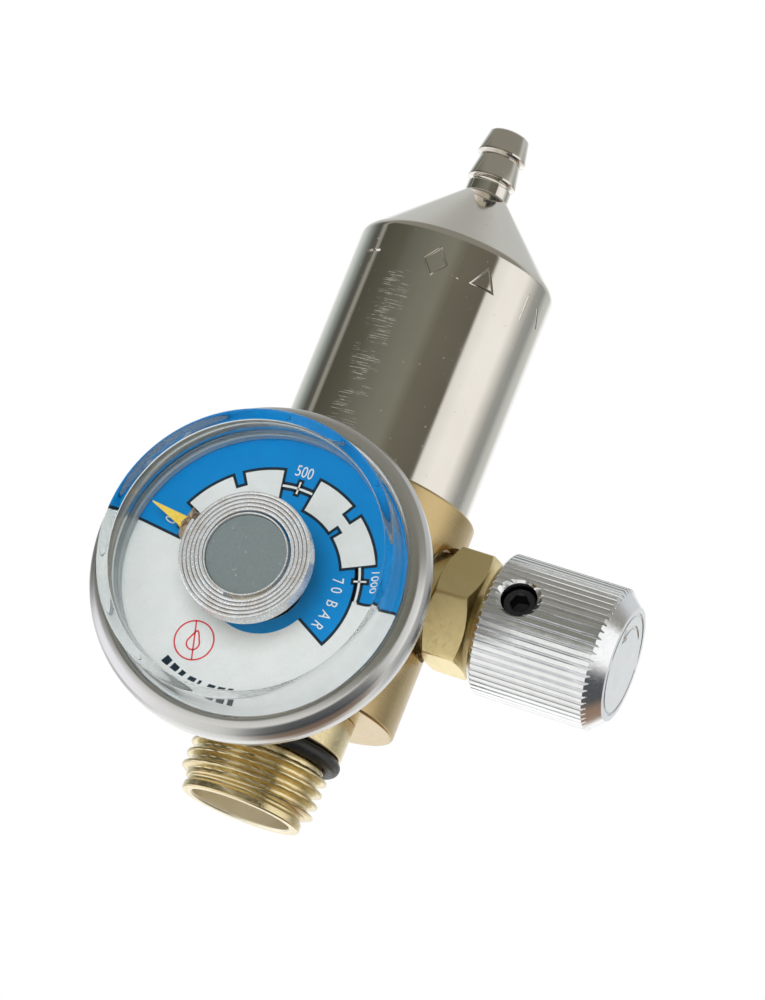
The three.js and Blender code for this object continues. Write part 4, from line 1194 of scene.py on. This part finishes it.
def flute_radius(facets):
    """The radius round the knob: flat crests between V grooves."""
    per_flute = facets // FLUTES
    share = (np.arange(facets) % per_flute) / per_flute
    groove = np.clip((np.abs(share - 0.5) * 2 - 0.08) / 0.38, 0, 1)
    groove = groove * groove * (3 - 2 * groove)
    return KNOB_R - FLUTE_DEPTH * (1 - groove)


def end_marks():
    """An engraved ring and a curved arrow on the knob's end."""
    groove = circle(END_GROOVE_R, 8)
    ring = flat(circle(END_RING_R, 120))
    bend = [radians(150 + i * 4) for i in range(26)]
    shaft = [(ARROW_R * cos(t), ARROW_R * sin(t), 0) for t in bend]
    tip = Vector(shaft[-1])
    way = (tip - Vector(shaft[-2])).normalized()
    side = Vector((way.y, -way.x, 0))
    head = [tip - way * 1.1 + side * 0.8, tip + way * 0.15, tip - way * 1.1 - side * 0.8]
    shapes = [sweep(groove, ring, True), sweep(groove, shaft), sweep(groove, head)]
    place = VALVE @ Matrix.Translation((0, 0, KNOB_END - 0.04))
    return [solid("mark", shape, place) for shape in shapes]


def screw_place():
    """The grub screw points outwards along its local Z."""
    way = Vector((-sin(SET_SCREW_ANGLE), -cos(SET_SCREW_ANGLE), 0))
    return VALVE @ Matrix.Translation((0, 0, SET_SCREW_X)) @ towards(way)


def add_knob():
    facets = FLUTES * 12
    side = flute_radius(facets)
    bore_r, rim_r, face_r = STEM_R + 0.15, KNOB_R - START_CHAMFER, KNOB_R - END_CHAMFER_R
    start = KNOB_START + 0.7 * (side - rim_r) / START_CHAMFER
    end = KNOB_END - END_CHAMFER_X * (side - face_r) / END_CHAMFER_R
    rows = outline([
        (0, KNOB_BORE_END), (bore_r, KNOB_BORE_END), (bore_r, KNOB_START, 0.25),
        (rim_r - 0.1, KNOB_START),
    ], closed=False)
    rows.append((rim_r, KNOB_START))
    rows += [(side, start + (end - start) * share) for share in SIDE_SHARES]
    chamfer = [(KNOB_R - 0.6, KNOB_END - 1.145), (face_r, KNOB_END, 0.12), (0, KNOB_END)]
    rows += outline(chamfer, closed=False)[:-1]
    rows.append((0, KNOB_END))
    knob = solid("knob_fine", skin(rows, facets, False), VALVE)
    hole = skin([
        (0, 1.0), (SCREW_HOLE_R, 1.0), (SCREW_HOLE_R, KNOB_R - 0.55), (2.3, KNOB_R - 0.35),
        (HOLE_RIM_R, KNOB_R + 0.1), (HOLE_RIM_R, KNOB_R + 1), (0, KNOB_R + 1),
    ], MIDDLE, False)
    carve(knob, solid("hole", hole, screw_place()), *end_marks())
    piece(knob, ALUMINIUM, "knob", STEM_BODY, KNOB_SHARP_ANGLE)


def add_set_screw():
    place = screw_place()
    screw = solid("set_screw_fine", lathe([
        (0, SCREW_START), (1.3, SCREW_START, 0.1), (SCREW_R, SCREW_START + 0.55, 0.1),
        (SCREW_R, SCREW_END, 0.3), (1.2, SCREW_END, 0.05), (1.05, SCREW_END - 0.15),
        (0, SCREW_END - 0.15),
    ], MIDDLE, False), place)
    socket_r = hex_radius(96, 1.0)
    socket = solid("socket", skin([(0, 4.5), (socket_r, 4.8), (socket_r, 8), (0, 8)], 96, False), place)
    carve(screw, socket)
    piece(screw, BLACK_STEEL, "knob_set_screw", STEM_BODY)


def add_stem():
    """A collar with a pocket for the pad, and a rod that ends in the knob's bore."""
    stem = lathe([
        (0, STEM_START + 1.2), (PAD_POCKET_R, STEM_START + 1.2), (PAD_POCKET_R, STEM_START, 0.05),
        (STEM_COLLAR_R, STEM_START, 0.2), (STEM_COLLAR_R, STEM_START + 1.8, 0.2),
        (STEM_R, STEM_START + 1.8, 0.1), (STEM_R, STEM_END, 0.4), (0, STEM_END),
    ], MIDDLE, False)
    part("valve_stem", stem, VALVE, NUT_BRASS, STEM_BODY)


# --- piston spring ---

SPRING_WIRE_R = 0.75
SPRING_TURNS = 5.5


def add_spring():
    """A coil spring that the piston squashes against the spigot as it drops."""
    low, high = box_mm("piston_spring")
    coil_r = high.x - SPRING_WIRE_R
    ends = (low.z + SPRING_WIRE_R, high.z - SPRING_WIRE_R)
    path = spiral(SPRING_TURNS, 60, 0.0, (coil_r, coil_r), ends)
    wire = sweep(circle(SPRING_WIRE_R * 0.98, 14), path)
    spring = part("piston_spring", wire, MAIN, SPRING_STEEL)
    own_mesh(spring)


# --- pieces that stay as the frame has them ---

KEPT = {
    "seat_nozzle": GOLD_BRASS,
    "piston_stem_oring": RUBBER,
    "bonnet_oring": RUBBER,
    "piston": GOLD_BRASS,
    "piston_seat_pad": POLYMER,
    "piston_oring": RUBBER,
    "flow_orifice": GOLD_BRASS,
    "case_nut": SOCKET_BRASS,
    "gland_backup_ring": POLYMER,
    "gland_oring": RUBBER,
    "valve_pad": POLYMER,
}


def dress_kept_nodes():
    for name, material in KEPT.items():
        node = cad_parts[name]
        node.data.materials.clear()
        node.data.materials.append(material)


# --- studio, in metres ---

KEY_FROM, KEY_AT, KEY_DISTANCE = (0.10, -1.0, -0.04), (0, -0.02, 0.015), 0.75
CAMERA_ANGLES = (17.86, -13.96, 21.8)      # degrees: azimuth, elevation, roll
CAMERA_DISTANCE, CAMERA_LENS = 0.4551, 147.35
AIM_LEFT, AIM_DOWN = 0.00496, 0.0047       # of the object's middle

# Brightness of the surroundings seen level, by degrees from the front towards +X.
AROUND = [
    (-180, 1.05, 1.05, 1.05), (-150, 1.05, 1.06, 1.06), (-138, 0.80, 0.82, 0.82), (-126, 0.62, 0.68, 0.66),
    (-114, 0.33, 0.38, 0.36), (-102, 0.12, 0.12, 0.11), (-95, 0.12, 0.12, 0.11), (-91, 0.38, 0.38, 0.34),
    (-87, 0.36, 0.36, 0.32), (-83, 0.10, 0.10, 0.08), (-54, 0.13, 0.13, 0.10), (-42, 0.17, 0.175, 0.15),
    (-12, 0.24, 0.24, 0.20), (8, 0.26, 0.26, 0.21), (20, 0.19, 0.18, 0.14), (57, 0.16, 0.15, 0.12),
    (60, 0.98, 0.98, 0.96), (78, 1.15, 1.14, 1.12), (102, 1.15, 1.14, 1.12), (114, 0.76, 0.76, 0.74),
    (126, 0.42, 0.43, 0.42), (138, 0.36, 0.38, 0.37), (150, 0.62, 0.65, 0.64), (165, 0.72, 0.74, 0.73),
    (174, 1.05, 1.05, 1.05),
]


def studio_world():
    """White all round, and grey or dark cards where the metal mirrors them; the camera sees white."""
    world = bpy.data.worlds.new("studio")
    bpy.context.scene.world = world
    world.use_nodes = True
    tree = world.node_tree
    n = Nodes(tree)
    way = add(tree, "TexCoord").outputs["Generated"]
    x, y, z = add(tree, "SeparateXYZ", {0: way}).outputs
    turn = n.maths("ARCTAN2", x, n.times(y, -1.0))
    place = n.maths("MULTIPLY_ADD", turn, 1 / (2 * pi), 0.5)
    ramp = add(tree, "ValToRGB", {0: place})
    stops = ramp.color_ramp.elements
    for i, (degrees, r, g, b) in enumerate(AROUND):
        spot = degrees / 360 + 0.5
        stop = stops[0] if i == 0 else stops.new(spot)
        stop.position = spot
        stop.color = (r, g, b, 1.0)
    stops.remove(stops[len(stops) - 1])
    level = ramp.outputs[0]
    above = n.mix(n.span(y, 0.03, 0.47), (0.31, 0.30, 0.26), (0.66, 0.68, 0.68))
    behind = n.span(y, -0.80, -0.55)
    right = n.times(n.span(x, -0.10, 0.16), behind)
    shade = n.times(right, n.span(z, -0.42, -0.16, 1.0, 0.0))
    side = n.mix(n.span(x, -0.85, -0.35), (1.28, 1.26, 1.32), (1.0, 0.99, 0.95))
    back = n.mix(n.span(x, -0.62, -0.48), (0.40, 0.41, 0.42), (1.30, 1.32, 1.30))
    under = n.mix(n.span(y, 0.35, 0.85), side, back)
    dark = n.mix(n.span(y, 0.35, 0.60), (0.085, 0.09, 0.095), (0.32, 0.215, 0.15))
    below = n.mix(shade, under, dark)
    upper = n.mix(n.span(z, 0.44, 0.60), level, above)
    whole = n.mix(n.span(z, -0.22, -0.10), below, upper)
    light = add(tree, "Background", {"Color": whole, "Strength": 1.0})
    seen = add(tree, "Background", {"Color": (1.0, 1.0, 1.0), "Strength": 1.0})
    camera = add(tree, "LightPath").outputs["Is Camera Ray"]
    both = add(tree, "MixShader", {0: camera, 1: light.outputs[0], 2: seen.outputs[0]})
    add(tree, "OutputWorld", {"Surface": both.outputs[0]})


def add_key_light():
    lamp = bpy.data.lights.new("key", "AREA")
    lamp.shape = "DISK"
    lamp.size = 0.42
    lamp.energy = 4.2
    lamp.color = (1.0, 0.99, 0.97)
    holder = placed("key", lamp)
    way = Vector(KEY_FROM).normalized()
    holder.location = Vector(KEY_AT) + way * KEY_DISTANCE
    holder.rotation_mode = "QUATERNION"
    holder.rotation_quaternion = (-way).to_track_quat("-Z", "Y")
    holder.visible_glossy = False
    holder.visible_transmission = False


def add_floor():
    """A pale floor that sags gently out of sight, well under the object."""
    level, half, cells, sag = -0.14, 3.0, 24, 0.004
    steps = np.linspace(-half, half, cells + 1)
    points = [(x, y, level - sag * (x * x + y * y)) for y in steps for x in steps]
    row = cells + 1
    corners = [i * row + j for i in range(cells) for j in range(cells)]
    mesh = bpy.data.meshes.new("floor")
    mesh.from_pydata(points, [], [(a, a + 1, a + row + 1, a + row) for a in corners])
    floor = placed("floor", mesh)
    mesh.polygons.foreach_set("use_smooth", [True] * len(mesh.polygons))
    floor.data.materials.append(
        plain("floor_paper", (0.86, 0.86, 0.85), (0.89, 0.89, 0.88), (0.7, 0.85), 0.02, 0.01,
              Emission_Color=(1.0, 1.0, 1.0), Emission_Strength=0.45)
    )
    floor.visible_glossy = False
    floor.visible_diffuse = False
    floor.visible_transmission = False


def add_camera():
    """Below the object and to its right, turned so that the top leans to the right."""
    azimuth, elevation, roll = (radians(angle) for angle in CAMERA_ANGLES)
    across = cos(elevation)
    back = Vector((sin(azimuth) * across, -cos(azimuth) * across, sin(elevation)))
    level = Vector((cos(azimuth), sin(azimuth), 0))
    over = back.cross(level)
    right = level * cos(roll) + over * sin(roll)
    up = back.cross(right)
    centre = (CAD_BOX[0] + CAD_BOX[1]) / 2
    aim = centre - right * AIM_LEFT - up * AIM_DOWN
    data = bpy.data.cameras.new("camera")
    data.lens = CAMERA_LENS
    data.sensor_width = 36.0
    data.clip_start, data.clip_end = 0.01, 50.0
    camera = placed("camera", data)
    turn = Matrix((right, up, back)).transposed().to_4x4()
    camera.matrix_world = Matrix.Translation(aim + back * CAMERA_DISTANCE) @ turn
    bpy.context.scene.camera = camera


bpy.context.scene.view_settings.view_transform = "Standard"
add_camera()
studio_world()
add_key_light()
add_floor()
add_inlet()
add_body()
add_bonnet()
add_barb()
add_socket()
add_case()
add_bezel()
add_lens()
add_dial()
add_coil()
add_pointer()
add_gland()
add_knob()
add_set_screw()
add_stem()
add_spring()
dress_kept_nodes()
